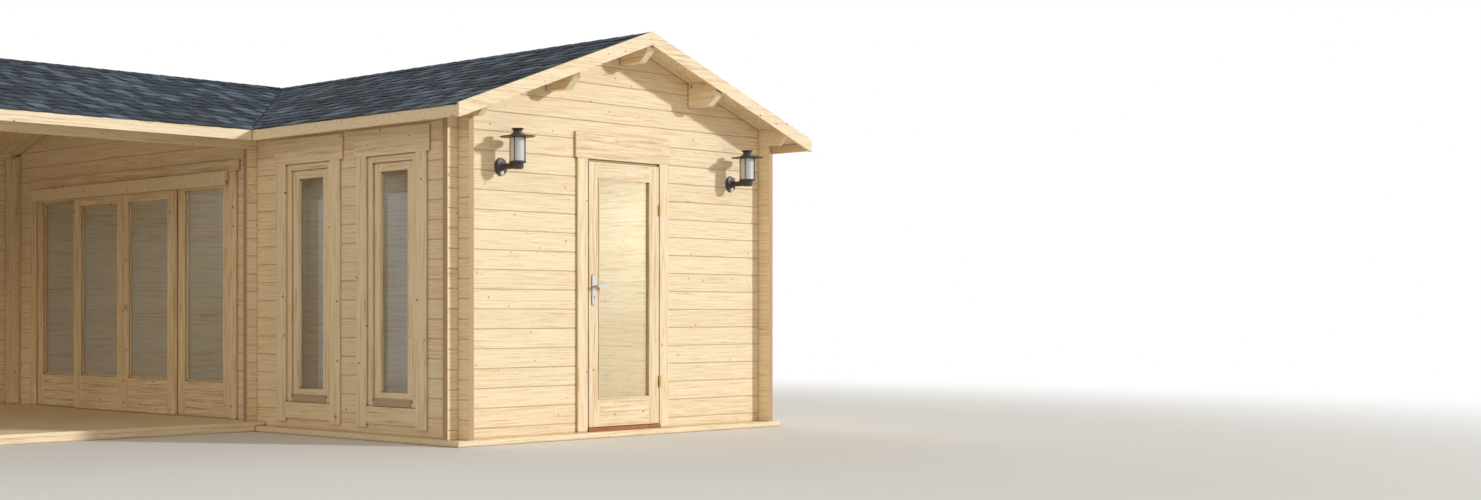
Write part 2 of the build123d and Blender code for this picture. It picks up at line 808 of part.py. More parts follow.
with BuildPart() as door_leaf:
    box_between((door_left, door_front, door_bottom), (door_right, door_back, door_top))
    box_between((pane_low[0], door_front, pane_low[1]), (pane_high[0], door_back, pane_high[1]), Mode.SUBTRACT)
    rebate_low, rebate_high = pane_rebate(pane_low, pane_high, pane_front, door_back, 1)
    box_between(rebate_low, rebate_high, Mode.SUBTRACT)
    with BuildSketch(lever_axis):
        Circle(lever_shaft_radius + lever_clearance)
    extrude(amount=lever_span, mode=Mode.SUBTRACT)
    groove_low = door_bottom + (door_bottom_rail - panel_groove) / 2
    for y in (door_front, door_back - panel_groove_depth):
        box_between(
            (pane_low[0], y, groove_low),
            (pane_high[0], y + panel_groove_depth, groove_low + panel_groove),
            Mode.SUBTRACT,
        )
save(door_leaf, "door_leaf")

with BuildPart() as door_glass:
    glass_low, glass_high = pane_rebate(pane_low, pane_high, pane_front, pane_front + glass_thickness, 1)
    box_between(glass_low, glass_high)
save(door_glass, "door_glass")

# Lift-off hinges: the pin stands on the frame's half, the door's half drops over it
hinge_x = (door_right + jamb_inner_right) / 2
hinge_y = door_front - hinge_radius - 1
hinge_plate_front = door_front - hinge_leaf_thickness

with BuildPart() as door_hinge_pins:
    for z in (hinge_low, hinge_high):
        with BuildSketch(Plane(origin=(hinge_x, hinge_y, z - hinge_knuckle))):
            Circle(hinge_radius)
        extrude(amount=hinge_knuckle - hinge_pin_clearance)
        with BuildSketch(Plane(origin=(hinge_x, hinge_y, z - hinge_knuckle))):
            Circle(hinge_pin_radius)
        extrude(amount=2 * hinge_knuckle - hinge_radius)
        box_between(
            (hinge_x, hinge_plate_front, z - hinge_knuckle),
            (hinge_x + hinge_leaf_width, door_front, z - hinge_pin_clearance),
        )
save(door_hinge_pins, "door_hinge_pins")

with BuildPart() as door_hinge_knuckles:
    for z in (hinge_low, hinge_high):
        with BuildSketch(Plane(origin=(hinge_x, hinge_y, z))):
            Circle(hinge_radius)
        extrude(amount=hinge_knuckle)
        box_between(
            (hinge_x - hinge_leaf_width, hinge_plate_front, z),
            (hinge_x, door_front, z + hinge_knuckle),
        )
        with BuildSketch(Plane(origin=(hinge_x, hinge_y, z))):
            Circle(hinge_pin_radius + hinge_pin_clearance)
        extrude(amount=hinge_knuckle - hinge_radius + hinge_pin_clearance, mode=Mode.SUBTRACT)
save(door_hinge_knuckles, "door_hinge_knuckles")

# Handle plates on both faces, with the lever's shaft through them and the door
plate_z = handle_height - plate_drop
with BuildPart() as door_handle_plates:
    for y in (door_front - plate_thickness, door_back):
        plate_plane = Plane(origin=(handle_x, y, plate_z), x_dir=(1, 0, 0), z_dir=(0, -1, 0))
        with BuildSketch(plate_plane):
            RectangleRounded(plate_width, plate_height, plate_corner)
            with Locations((0, plate_drop)):
                Circle(lever_shaft_radius + lever_clearance, mode=Mode.SUBTRACT)
            with Locations((0, -plate_height / 4)):
                Rectangle(keyhole_width, keyhole_height, mode=Mode.SUBTRACT)
        extrude(amount=-plate_thickness)
save(door_handle_plates, "door_handle_plates")

with BuildPart() as door_lever:
    with BuildSketch(lever_axis):
        Circle(lever_shaft_radius)
    extrude(amount=lever_span)
    for y in (door_front - plate_thickness - lever_reach, door_back + plate_thickness + lever_reach - lever_depth):
        arm_plane = Plane(origin=(handle_x, y, handle_height), x_dir=(1, 0, 0), z_dir=(0, -1, 0))
        with BuildSketch(arm_plane):
            with Locations(((lever_length - lever_width) / 2, 0)):
                SlotOverall(lever_length, lever_width)
        extrude(amount=-lever_depth)
save(door_lever, "door_lever")

# Windows: a frame with a sash set back inside it
window_centres = (window_near, window_far)
pane_half = window_pane_width / 2
sash_face = sash_back
sash_rear = sash_back + sash_depth
sash_half = pane_half + sash_width
window_glass_face = sash_rear - glass_thickness

with BuildPart() as window_frames:
    for centre in window_centres:
        box_between(
            (0, centre - window_hole_half, window_hole_low),
            (log_thickness, centre + window_hole_half, window_frame_top),
        )
        box_between(
            (0, centre - sash_half, window_pane_bottom - sash_width),
            (log_thickness, centre + sash_half, window_pane_top + sash_width),
            Mode.SUBTRACT,
        )
        box_between(
            (sash_face, centre - sash_half, window_pane_bottom - sash_width),
            (sash_rear, centre + sash_half, window_pane_top + sash_width),
        )
        box_between(
            (sash_face, centre - pane_half, window_pane_bottom),
            (sash_rear, centre + pane_half, window_pane_top),
            Mode.SUBTRACT,
        )
        sash_low, sash_high = pane_rebate(
            (centre - pane_half, window_pane_bottom), (centre + pane_half, window_pane_top),
            window_glass_face, sash_rear, 0,
        )
        box_between(sash_low, sash_high, Mode.SUBTRACT)
save(window_frames, "window_frames")

with BuildPart() as window_glass:
    for centre in window_centres:
        sash_low, sash_high = pane_rebate(
            (centre - pane_half, window_pane_bottom), (centre + pane_half, window_pane_top),
            window_glass_face, sash_rear, 0,
        )
        box_between(sash_low, sash_high)
save(window_glass, "window_glass")

cap_half = pane_half + drip_cap_overlap
cap_foot = window_pane_bottom - sash_width
with BuildPart() as window_drip_caps:
    for centre in window_centres:
        cap_profile = [
            (sash_face, cap_foot),
            (-trim_gap, cap_foot),
            (-trim_gap, cap_foot - drip_cap_drop),
            (-drip_cap_nose, cap_foot - drip_cap_drop),
            (-drip_cap_nose, cap_foot),
            (sash_face, cap_foot + drip_cap_rise),
        ]
        plane = Plane(origin=(0, centre - cap_half, 0), x_dir=(1, 0, 0), z_dir=(0, -1, 0))
        extrude(outline(plane, cap_profile), amount=2 * cap_half, dir=(0, 1, 0))
save(window_drip_caps, "window_drip_caps")


def window_trim_boards(x, centre):
    """Side boards, header, settling board and apron round one window."""
    inner_edge = window_hole_half - window_trim_lap
    side = inner_edge + window_trim_width
    header_low = window_frame_top - window_trim_lap + trim_gap
    header_top = header_low + window_header_height
    reach = side + window_header_lap
    front = x + trim_thickness
    for y in (centre - side, centre + inner_edge):
        box_between((x, y, window_trim_foot), (front, y + window_trim_width, header_low - trim_gap))
    box_between((x, centre - reach, header_low), (front, centre + reach, header_top - trim_gap))
    box_between((x, centre - reach, header_top), (front, centre + reach, header_top + window_board_height))
    apron_top = window_hole_low + window_apron_lap
    box_between(
        (x, centre - inner_edge + trim_gap, apron_top - window_apron_height),
        (front, centre + inner_edge - trim_gap, apron_top),
    )


with BuildPart() as window_trim:
    for centre in window_centres:
        window_trim_boards(-trim_thickness, centre)
save(window_trim, "window_trim")

# Sliding doors: a fixed glazed panel at each side, framed with its jamb and mullion
slider_low = foundation_height
fixed_back = log_thickness
fixed_glass_face = fixed_back - 2 * glass_thickness


def side_span(side, near, far):
    """Span along Y of something between two distances from the doors' centre line."""
    ends = (slider_centre + side * near, slider_centre + side * far)
    return min(ends), max(ends)


def glazed_opening(face, back, glass, y_low, y_high, z_low, z_high):
    """Cut a pane's opening: a step down to its glazing bead, the clear part and the rebate behind."""
    box_between(
        (face, y_low, z_low - bead),
        (face + bead_setback, y_high, z_high + bead),
        Mode.SUBTRACT,
    )
    box_between((face, y_low + bead, z_low), (back, y_high - bead, z_high), Mode.SUBTRACT)
    low, high = pane_rebate((y_low + bead, z_low), (y_high - bead, z_high), glass, back, 0)
    box_between(low, high, Mode.SUBTRACT)
    return low, high


def panel_lines(face, y_low, y_high, z_low, z_high):
    """Cut the lines between the boards below a pane, on the porch side."""
    for n in range(1, panel_boards):
        z = z_low + n * (z_high - z_low) / panel_boards
        box_between(
            (face, y_low, z - panel_groove / 2),
            (face + panel_groove_depth, y_high, z + panel_groove / 2),
            Mode.SUBTRACT,
        )


glass_edges = []
with BuildPart() as porch_fixed_panels:
    for side in (-1, 1):
        y_low, y_high = side_span(side, mullion_inner, slider_half)
        box_between((0, y_low, slider_low), (fixed_back, y_high, slider_top))
        y_low, y_high = side_span(side, fixed_pane_inner, fixed_pane_outer)
        glass_edges.append(
            glazed_opening(0, fixed_back, fixed_glass_face, y_low, y_high, fixed_pane_bottom, fixed_pane_top))
        panel_lines(0, y_low, y_high, porch_floor_top, fixed_pane_bottom - bead)
save(porch_fixed_panels, "porch_fixed_panels")

with BuildPart() as porch_fixed_glass:
    for low, high in glass_edges:
        box_between(low, (fixed_glass_face + glass_thickness, high[1], high[2]))
save(porch_fixed_glass, "porch_fixed_glass")

with BuildPart() as porch_door_head:
    y_low, y_high = slider_centre - mullion_inner, slider_centre + mullion_inner
    box_between((0, y_low, slider_top - slider_head), (log_thickness, y_high, slider_top))
    box_between((0, y_low, slider_low), (log_thickness, y_high, slider_low + slider_sill))
save(porch_door_head, "porch_door_head")

# Sliding leaves, hung in front of the fixed panels and guided by a rail in the floor
leaf_back = -leaf_gap
leaf_front = leaf_back - leaf_thickness
leaf_bottom = porch_floor_top + leaf_gap
rail_x = (leaf_front + leaf_back) / 2
rail_top = porch_floor_top + rail_height
leaf_glass_face = leaf_back - 2 * glass_thickness
guide_width = rail_width + 2 * rail_clearance

with BuildPart() as porch_door_rail:
    box_between(
        (rail_x - rail_width / 2, slider_centre - slider_half, porch_floor_top),
        (rail_x + rail_width / 2, slider_centre + slider_half, rail_top),
    )
save(porch_door_rail, "porch_door_rail")

for name, side in (("near", -1), ("far", 1)):
    leaf_low, leaf_high = side_span(side, meeting_gap, meeting_gap + leaf_width)
    y_low, y_high = leaf_low + leaf_stile, leaf_high - leaf_stile
    with BuildPart() as sliding_leaf:
        box_between((leaf_front, leaf_low, leaf_bottom), (leaf_back, leaf_high, leaf_top))
        low, high = glazed_opening(leaf_front, leaf_back, leaf_glass_face, y_low, y_high,
                                   leaf_pane_bottom, leaf_pane_top)
        panel_lines(leaf_front, y_low, y_high, leaf_bottom, leaf_pane_bottom - bead)
        box_between(
            (rail_x - guide_width / 2, leaf_low, leaf_bottom),
            (rail_x + guide_width / 2, leaf_high, rail_top + rail_clearance),
            Mode.SUBTRACT,
        )
    save(sliding_leaf, "sliding_leaf_" + name)
    with BuildPart() as sliding_glass:
        box_between(low, (leaf_glass_face + glass_thickness, high[1], high[2]))
    save(sliding_glass, "sliding_glass_" + name)

# Cover along the top of the sliding leaves
cover_low = slider_top - track_cover_height
cover_front = leaf_front - leaf_gap - track_cover_thickness
with BuildPart() as porch_track_cover:
    box_between(
        (cover_front, slider_centre - slider_half, leaf_top + leaf_gap),
        (0, slider_centre + slider_half, slider_top),
    )
    box_between(
        (cover_front, slider_centre - slider_half, cover_low),
        (cover_front + track_cover_thickness, slider_centre + slider_half, slider_top),
    )
save(porch_track_cover, "porch_track_cover")


def slider_trim_boards(x):
    """Side boards and settling board round the sliding doors."""
    inner_edge = slider_half + trim_gap
    side = inner_edge + slider_trim_width
    front = x + trim_thickness
    for y in (slider_centre - side, slider_centre + inner_edge):
        box_between((x, y, porch_floor_top), (front, y + slider_trim_width, slider_top - trim_gap))
    reach = side + slider_board_lap
    box_between((x, slider_centre - reach, slider_top), (front, slider_centre + reach, slider_top + slider_board_height))


with BuildPart() as porch_door_trim:
    slider_trim_boards(-trim_thickness)
save(porch_door_trim, "porch_door_trim")

# Wall lanterns: plate, arm, cup, base, bars, flat hat and cap, with a glass cylinder
lamp_xs = (lamp_inset, bay - lamp_inset)
base_low = lamp_bottom + lamp_cup_height
glass_bottom = base_low + lamp_base_thickness
glass_top = glass_bottom + lamp_glass_height
hat_top = glass_top + lamp_hat_thickness


def lamp_disc(x, z, radius, height):
    """A round layer of a lantern on its upright axis."""
    with Locations((x, -lamp_reach, z + height / 2)):
        Cylinder(radius, height)


with BuildPart() as lamp_bodies:
    for x in lamp_xs:
        wall_plane = Plane(origin=(x, 0, lamp_height), x_dir=(1, 0, 0), z_dir=(0, -1, 0))
        with BuildSketch(wall_plane):
            Circle(lamp_plate_radius)
        extrude(amount=lamp_plate_depth, taper=30)
        with BuildSketch(wall_plane):
            Circle(lamp_arm_radius)
        extrude(amount=lamp_reach)
        lamp_disc(x, lamp_bottom, lamp_cup_radius, lamp_cup_height)
        lamp_disc(x, base_low, lamp_body_radius, lamp_base_thickness)
        with BuildSketch(Plane(origin=(x, -lamp_reach, glass_bottom))):
            with PolarLocations(lamp_body_radius - lamp_bar, lamp_bars, start_angle=20):
                Rectangle(lamp_bar, lamp_bar)
        extrude(amount=lamp_glass_height)
        lamp_disc(x, glass_top, lamp_hat_radius, lamp_hat_thickness)
        lamp_disc(x, hat_top, lamp_cap_radius, lamp_cap_height)
save(lamp_bodies, "lamp_bodies")

with BuildPart() as lamp_glasses:
    for x in lamp_xs:
        with BuildSketch(Plane(origin=(x, -lamp_reach, glass_bottom))):
            Circle(lamp_glass_radius - lamp_bar / 2)
            Circle(lamp_glass_radius - lamp_bar / 2 - glass_thickness / 2, mode=Mode.SUBTRACT)
        extrude(amount=lamp_glass_height)
save(lamp_glasses, "lamp_glasses")
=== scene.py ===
# %% [markdown]
# # Dressing a log cabin
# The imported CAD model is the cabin's carpentry: logs, purlins, doors and glass, all in metres. This lesson
# gives it the look of untreated planed spruce under a bitumen shingle roof, adds the small pieces that a
# carpenter or roofer would fix last, and sets up a plain studio. Each step says what the thing is on a real
# cabin, how it could be made, and why it is made this way here.

import math
import random

import bmesh
import bpy
from mathutils import Matrix, Vector


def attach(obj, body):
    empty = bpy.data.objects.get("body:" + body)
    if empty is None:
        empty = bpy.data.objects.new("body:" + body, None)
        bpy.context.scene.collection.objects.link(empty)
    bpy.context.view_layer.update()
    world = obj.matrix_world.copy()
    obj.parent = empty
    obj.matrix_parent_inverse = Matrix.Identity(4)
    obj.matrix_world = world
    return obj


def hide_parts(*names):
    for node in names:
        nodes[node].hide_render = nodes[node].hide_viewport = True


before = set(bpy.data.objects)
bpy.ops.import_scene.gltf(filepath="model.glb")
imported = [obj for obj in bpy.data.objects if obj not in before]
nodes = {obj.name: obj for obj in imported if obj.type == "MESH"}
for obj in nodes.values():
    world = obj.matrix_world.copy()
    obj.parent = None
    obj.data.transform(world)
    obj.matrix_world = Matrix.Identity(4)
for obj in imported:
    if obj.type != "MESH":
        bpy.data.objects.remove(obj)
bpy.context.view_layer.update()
bpy.ops.object.select_all(action="DESELECT")

# %% [markdown]
# ## The camera
# The picture was taken at chest height from the front left, with the lens level, so upright edges stay
# upright. A camera could be turned until the view looks right, but the walls give it exactly: their two
# vanishing points fix the direction, and the heights of known boards fix the distance. The frame is wider
# than the cabin, so the lens is shifted sideways, as on a view camera.

# %% Camera at the picture's viewpoint
IMAGE_WIDTH, IMAGE_HEIGHT = 1481, 500
FOCAL_PIXELS = 1780.9
CENTRE_X, HORIZON_Y = 250.0, 313.97
CAMERA_AT = (-8.5515, -8.2892, 0.8777)
CAMERA_TURN = math.radians(39.2264)         # from +Y towards +X

camera_data = bpy.data.cameras.new("viewpoint")
camera_data.sensor_width = 36.0
camera_data.lens = FOCAL_PIXELS / IMAGE_WIDTH * camera_data.sensor_width
camera_data.shift_x = (IMAGE_WIDTH / 2 - CENTRE_X) / IMAGE_WIDTH
camera_data.shift_y = (HORIZON_Y - IMAGE_HEIGHT / 2) / IMAGE_WIDTH
camera_data.clip_end = 200.0
camera = bpy.data.objects.new("viewpoint", camera_data)
camera.location = CAMERA_AT
camera.rotation_euler = (math.radians(90), 0, -CAMERA_TURN)
bpy.context.scene.collection.objects.link(camera)
bpy.context.scene.camera = camera
print("lens", round(camera_data.lens, 2), "shift", round(camera_data.shift_x, 3), round(camera_data.shift_y, 3))

# %% [markdown]
# ## Small helpers for materials
# Cycles works with linear light, and colours are easier to read as the hex values of a colour card. One
# function converts them. A second one adds any node with its settings and links. A node given as an input
# stands for its first output, so a material reads as a list of what feeds what.


# %% Colour and node helpers
def colour(code):
    """Linear RGBA from an sRGB hex value such as e8cfa4."""
    parts = [int(code[i:i + 2], 16) / 255 for i in (0, 2, 4)]
    linear = [c / 12.92 if c <= 0.04045 else ((c + 0.055) / 1.055) ** 2.4 for c in parts]
    return (*linear, 1.0)


def add(tree, kind, *values, stops=(), **settings):
    """Add one node, set its properties, and fill its inputs with values or links.

    A sum's operation follows its kind, as in "Math ADD". The values come in the node's own order, or in one
    dict by name. Stops are the positions and colours of a ramp.
    """
    kind, *operation = kind.split()
    item = tree.nodes.new("ShaderNode" + kind)
    settings.update(zip(["operation"], operation))
    for name, value in settings.items():
        setattr(item, name, value)
    shown = [socket for socket in item.inputs if socket.enabled]
    pairs = zip(shown, values)
    if values and isinstance(values[0], dict):
        pairs = [(next(s for s in shown if s.name == name), value) for name, value in values[0].items()]
    for socket, value in pairs:
        if isinstance(value, bpy.types.Node):
            value = next(s for s in value.outputs if s.enabled)
        if isinstance(value, bpy.types.NodeSocket):
            tree.links.new(value, socket)
        else:
            socket.default_value = value
    for n, (position, shade) in enumerate(stops):
        points = item.color_ramp.elements
        if 0 < n < len(stops) - 1:
            points.new(0.5)
        points[n].position = position
        points[n].color = shade
    return item


def new_material(name):
    """An empty node material."""
    made = bpy.data.materials.new(name)
    made.use_nodes = True
    made.node_tree.nodes.clear()
    return made, made.node_tree


def wear(material, *names):
    """Give a material to CAD nodes."""
    for name in names:
        slots = nodes[name].material_slots
        if not slots:
            nodes[name].data.materials.append(material)
        for slot in slots:
            slot.material = material


print("pale spruce in linear light:", [round(c, 3) for c in colour("f0ddb9")])

# %% [markdown]
# ## Planed spruce
# The logs and boards are spruce, planed and left bare. A tree's yearly rings are cylinders round its pith, so
# a flat face cut from it shows stripes that bend round knots and close in long arches. An image of wood would
# repeat and could not follow each log; here every log is given a pith of its own behind its face, and the rings
# are worked out from the distance to it, in three dimensions. The same rings then show as arcs on the sawn
# ends. The first step finds where a point lies in its timber. On a door the rails lie across the stiles, so
# there the two directions change places.


# %% Where a point lies in its timber
def within(tree, value, low, high):
    """1 where a value lies between two limits, else 0."""
    above = add(tree, "Math GREATER_THAN", value, low)
    below = add(tree, "Math LESS_THAN", value, high)
    return add(tree, "Math MULTIPLY", above, below)


def timber_axes(tree, along, across, rails, fold):
    """A point's way along the grain, across it and into the timber, and 1 where it is on a rail.

    rails gives the boards that lie across the others, as limits along the wall and in height; fold measures
    the first two from a centre line.
    """
    axes = add(tree, "SeparateXYZ", add(tree, "TexCoord").outputs["Object"]).outputs
    side, depth = axes[across], axes[({"X", "Y", "Z"} - {along[0], across}).pop()]
    run = axes[along[0]] if len(along) == 1 else add(tree, "Math ADD", axes["X"], axes["Y"])
    if not rails:
        return run, side, depth, 0.0
    folded, lying = side, 0.0
    if fold is not None:
        folded = add(tree, "Math ABSOLUTE", add(tree, "Math SUBTRACT", side, fold))
    for side_low, side_high, low, high in rails:
        beside, at_height = within(tree, folded, side_low, side_high), within(tree, axes["Z"], low, high)
        spot = add(tree, "Math MULTIPLY", beside, at_height)
        lying = add(tree, "Math MAXIMUM", lying, spot)
    return add(tree, "Mix", lying, run, side), add(tree, "Mix", lying, side, run), depth, lying


print("directions of a timber: along, across, depth")

# %% [markdown]
# ## Every log its own tree
# Two logs of a wall come from different trees, or at least from different parts of one, so their knots and
# stripes must not line up. A wall is one mesh here, with logs of one height, so the height tells the log; loose
# boards are separate islands of a mesh, and each island has a random number. That number gives the log a
# shift along the grain, a pith and a tone of its own.

# %% Chance values of a log
SHIFT = 40.0            # cells and metres of pattern, far more than a log is long
PITH_SPREAD = 0.12      # metres up and down in which a log's pith may lie
HEART_SPAN = 0.11       # on joinery, the pattern turns back after this much board
HEART_DROP = 0.03


def timber_chance(tree, side, lying, seed, pitch, first, boards):
    """Height over the timber's middle, and its own shift, pith and tone.

    pitch and first give the height and the first joint of stacked logs; boards gives every separate board of a
    piece its own values.
    """
    if pitch:
        course = add(tree, "Math DIVIDE", add(tree, "Math SUBTRACT", side, first), pitch)
        number = add(tree, "Math FLOOR", course)
        local = add(tree, "Math FRACT", course)
        lift = add(tree, "Math MULTIPLY", add(tree, "Math SUBTRACT", local, 0.5), pitch)
    else:
        number = add(tree, "Math MULTIPLY", lying, 3.0)
        folded = add(tree, "Math PINGPONG", side, HEART_SPAN)
        lift = add(tree, "Math SUBTRACT", folded, HEART_DROP)
    if boards:
        island = add(tree, "NewGeometry").outputs["Random Per Island"]
        number = add(tree, "Math MULTIPLY", island, 97.0)
    number = add(tree, "Math ADD", number, seed)
    noise = add(tree, "TexWhiteNoise", number, noise_dimensions="1D")
    chance = add(tree, "SeparateColor", noise.outputs["Color"]).outputs
    shift = add(tree, "Math MULTIPLY", chance["Red"], SHIFT)
    pith = add(tree, "Math MULTIPLY", add(tree, "Math SUBTRACT", chance["Green"], 0.5), PITH_SPREAD)
    return lift, shift, pith, chance["Blue"]


print("piths lie up to", PITH_SPREAD / 2, "m over or under a log's middle")

# %% [markdown]
# ## Knots
# A knot is a branch that the trunk grew round. Spruce for log cabins has small ones, one in every half metre or
# so. A cell pattern gives each patch of the face at most one, so they never touch. The cells are flat: in
# three dimensions most cell centres would lie inside the wood and no knot would reach the face.

# %% Sparse knots
KNOT_CELL = 0.20
BARE_CELLS = 0.45       # share of the cells without a knot
KNOT_RADIUS = 0.009     # added at most to the smallest radius
SMALLEST_KNOT = 0.004


def knots(tree, run, side, shift, seed):
    """How far a point is from the nearest knot, the knot's radius, and 1 where a cell has one."""
    at_run = add(tree, "Math ADD", add(tree, "Math DIVIDE", run, KNOT_CELL), shift)
    at_side = add(tree, "Math ADD", add(tree, "Math DIVIDE", side, KNOT_CELL), seed)
    cell = add(tree, "TexVoronoi", {"Vector": add(tree, "CombineXYZ", at_run, at_side), "Scale": 1.0},
               voronoi_dimensions="2D")
    chance = add(tree, "SeparateColor", cell.outputs["Color"]).outputs
    reach = add(tree, "Math MULTIPLY", cell.outputs["Distance"], KNOT_CELL)
    radius = add(tree, "Math MULTIPLY_ADD", chance["Green"], KNOT_RADIUS, SMALLEST_KNOT)
    return reach, radius, add(tree, "Math GREATER_THAN", chance["Red"], BARE_CELLS)


print("knots in a square metre:", round((1 - BARE_CELLS) / KNOT_CELL ** 2))

# %% [markdown]
# ## Rings and fibres
# Wood grown in spring is pale and soft, wood grown in summer is narrow, dark and hard. Real rings are 2 to 3 mm
# wide; they are drawn 10 mm wide so that they still show from ten metres. A slow noise bends them along the
# log, as a trunk is never quite round, and near a knot they swell round it. Long thin streaks of noise stand
# for bundles of fibres.

# %% Yearly rings and streaks
RING = 0.005            # from spring wood to summer wood, half a ring
PITH_BEHIND = 0.05      # metres from the face's zero plane to the pith
RING_WARP = 0.10
KNOT_SWELL = 0.03
SWELL_REACH = 0.02


def stretched(tree, run, side, depth, shift, along, across):
    """A place for noise, with its own scales along the grain and across it."""
    return add(tree, "CombineXYZ", add(tree, "Math MULTIPLY_ADD", run, along, shift),
               add(tree, "Math MULTIPLY", side, across), add(tree, "Math MULTIPLY", depth, across))


def rings(tree, flow, depth, lift, pith, reach, has_knot):
    """0 in spring wood to 1 in summer wood."""
    warp = add(tree, "Math MULTIPLY", add(tree, "Math SUBTRACT", flow, 0.5), RING_WARP)
    fading = add(tree, "Math MULTIPLY", reach, -1.0 / SWELL_REACH)
    swell = add(tree, "Math MULTIPLY", add(tree, "Math EXPONENT", fading), has_knot)
    bend = add(tree, "Math MULTIPLY", swell, KNOT_SWELL)
    total = 0.0
    for offset in (add(tree, "Math ADD", lift, pith), add(tree, "Math ADD", depth, PITH_BEHIND)):
        square = add(tree, "Math POWER", add(tree, "Math ABSOLUTE", offset), 2.0)
        total = add(tree, "Math ADD", total, square)
    radius = add(tree, "Math SQRT", total)
    for more in (warp, bend):
        radius = add(tree, "Math ADD", radius, more)
    ring = add(tree, "Math PINGPONG", radius, RING)
    return add(tree, "Math POWER", add(tree, "Math DIVIDE", ring, RING), 3.0)


print("rings drawn every", round(2000 * RING), "mm")

# %% [markdown]
# ## Colours of the wood
# One ramp runs from pale spring wood to resin brown, over rings, fibres and the log's own tone. Fine streaks of
# resin are darker still. Sawn ends drink more light, because their cells are open, so they get their own two
# colours, and the rings show there as arcs.

# %% Grain and sawn ends
SPRING, SUMMER, RESIN = "f0ddb9", "d8b88b", "b98a56"
SAWN_END, SAWN_RING = "be9b78", "94705a"


def grain_colour(tree, late, flow, fibre, own_tone, contrast, shades):
    """The wood's colour between its rings and fibres."""
    strength = add(tree, "Math MULTIPLY", add(tree, "Math SUBTRACT", flow, 0.25), 0.75)
    grain = add(tree, "Math MULTIPLY_ADD", fibre, contrast, add(tree, "Math MULTIPLY", late, strength))
    level = add(tree, "Math ADD", grain, own_tone)
    wood = add(tree, "ValToRGB", level, stops=list(zip((0.0, 0.7, 1.0), map(colour, shades))))
    resin = add(tree, "Math MULTIPLY", add(tree, "MapRange", fibre, 0.10, 0.22), 0.7)
    return add(tree, "Mix", resin, wood, colour(RESIN), data_type="RGBA")


def end_grain(tree, wood, late, along, lying):
    """The wood with its sawn ends, and 1 on those ends."""
    facing = add(tree, "SeparateXYZ", add(tree, "NewGeometry").outputs["Normal"]).outputs[along]
    is_end = add(tree, "Math GREATER_THAN", add(tree, "Math ABSOLUTE", facing), 0.75)
    is_end = add(tree, "Math MULTIPLY", is_end, add(tree, "Math SUBTRACT", 1.0, lying))
    arcs = add(tree, "Math MULTIPLY", late, 0.6)
    end_wood = add(tree, "Mix", arcs, colour(SAWN_END), colour(SAWN_RING), data_type="RGBA")
    return add(tree, "Mix", is_end, wood, end_wood, data_type="RGBA"), is_end


print("shades from spring wood to resin:", SPRING, SUMMER, RESIN)

# %% [markdown]
# ## Spruce, put together
# Over the grain lie the knots and the fine dark line where two logs meet. A warm shade is painted into the
# corners between boards, where light that bounces there is coloured by wood each time. A planed face is smooth
# but open, so it is rather rough to light, and the hard summer rings stand up by a fraction of a millimetre.

# %% The spruce material
# Bundles of fibres are 1 to 3 mm wide; they are drawn 12 to 20 mm wide so that they show
LOG_FIBRES, BOARD_FIBRES = 80.0, 50.0   # in one metre across the grain, on logs and on joinery
# one colour for the dark joints between logs and for the painted shade in corners
KNOT, JOINT_AND_PAINTED_SHADE = "83522f", "7f5129"
SEAM_START, SEAM_FULL = 0.004, 0.001    # metres from a joint
SEAM_COVER = 0.15       # how much of the wood's colour the line hides
LOG_LOOK = (2.1, 0.5, 0.4)      # contrast of the fibres, cover of a knot and of the painted shade in corners
BOARD_LOOK = (3.0, 0.8, 0.85)   # the same on beams and boards, which are narrower


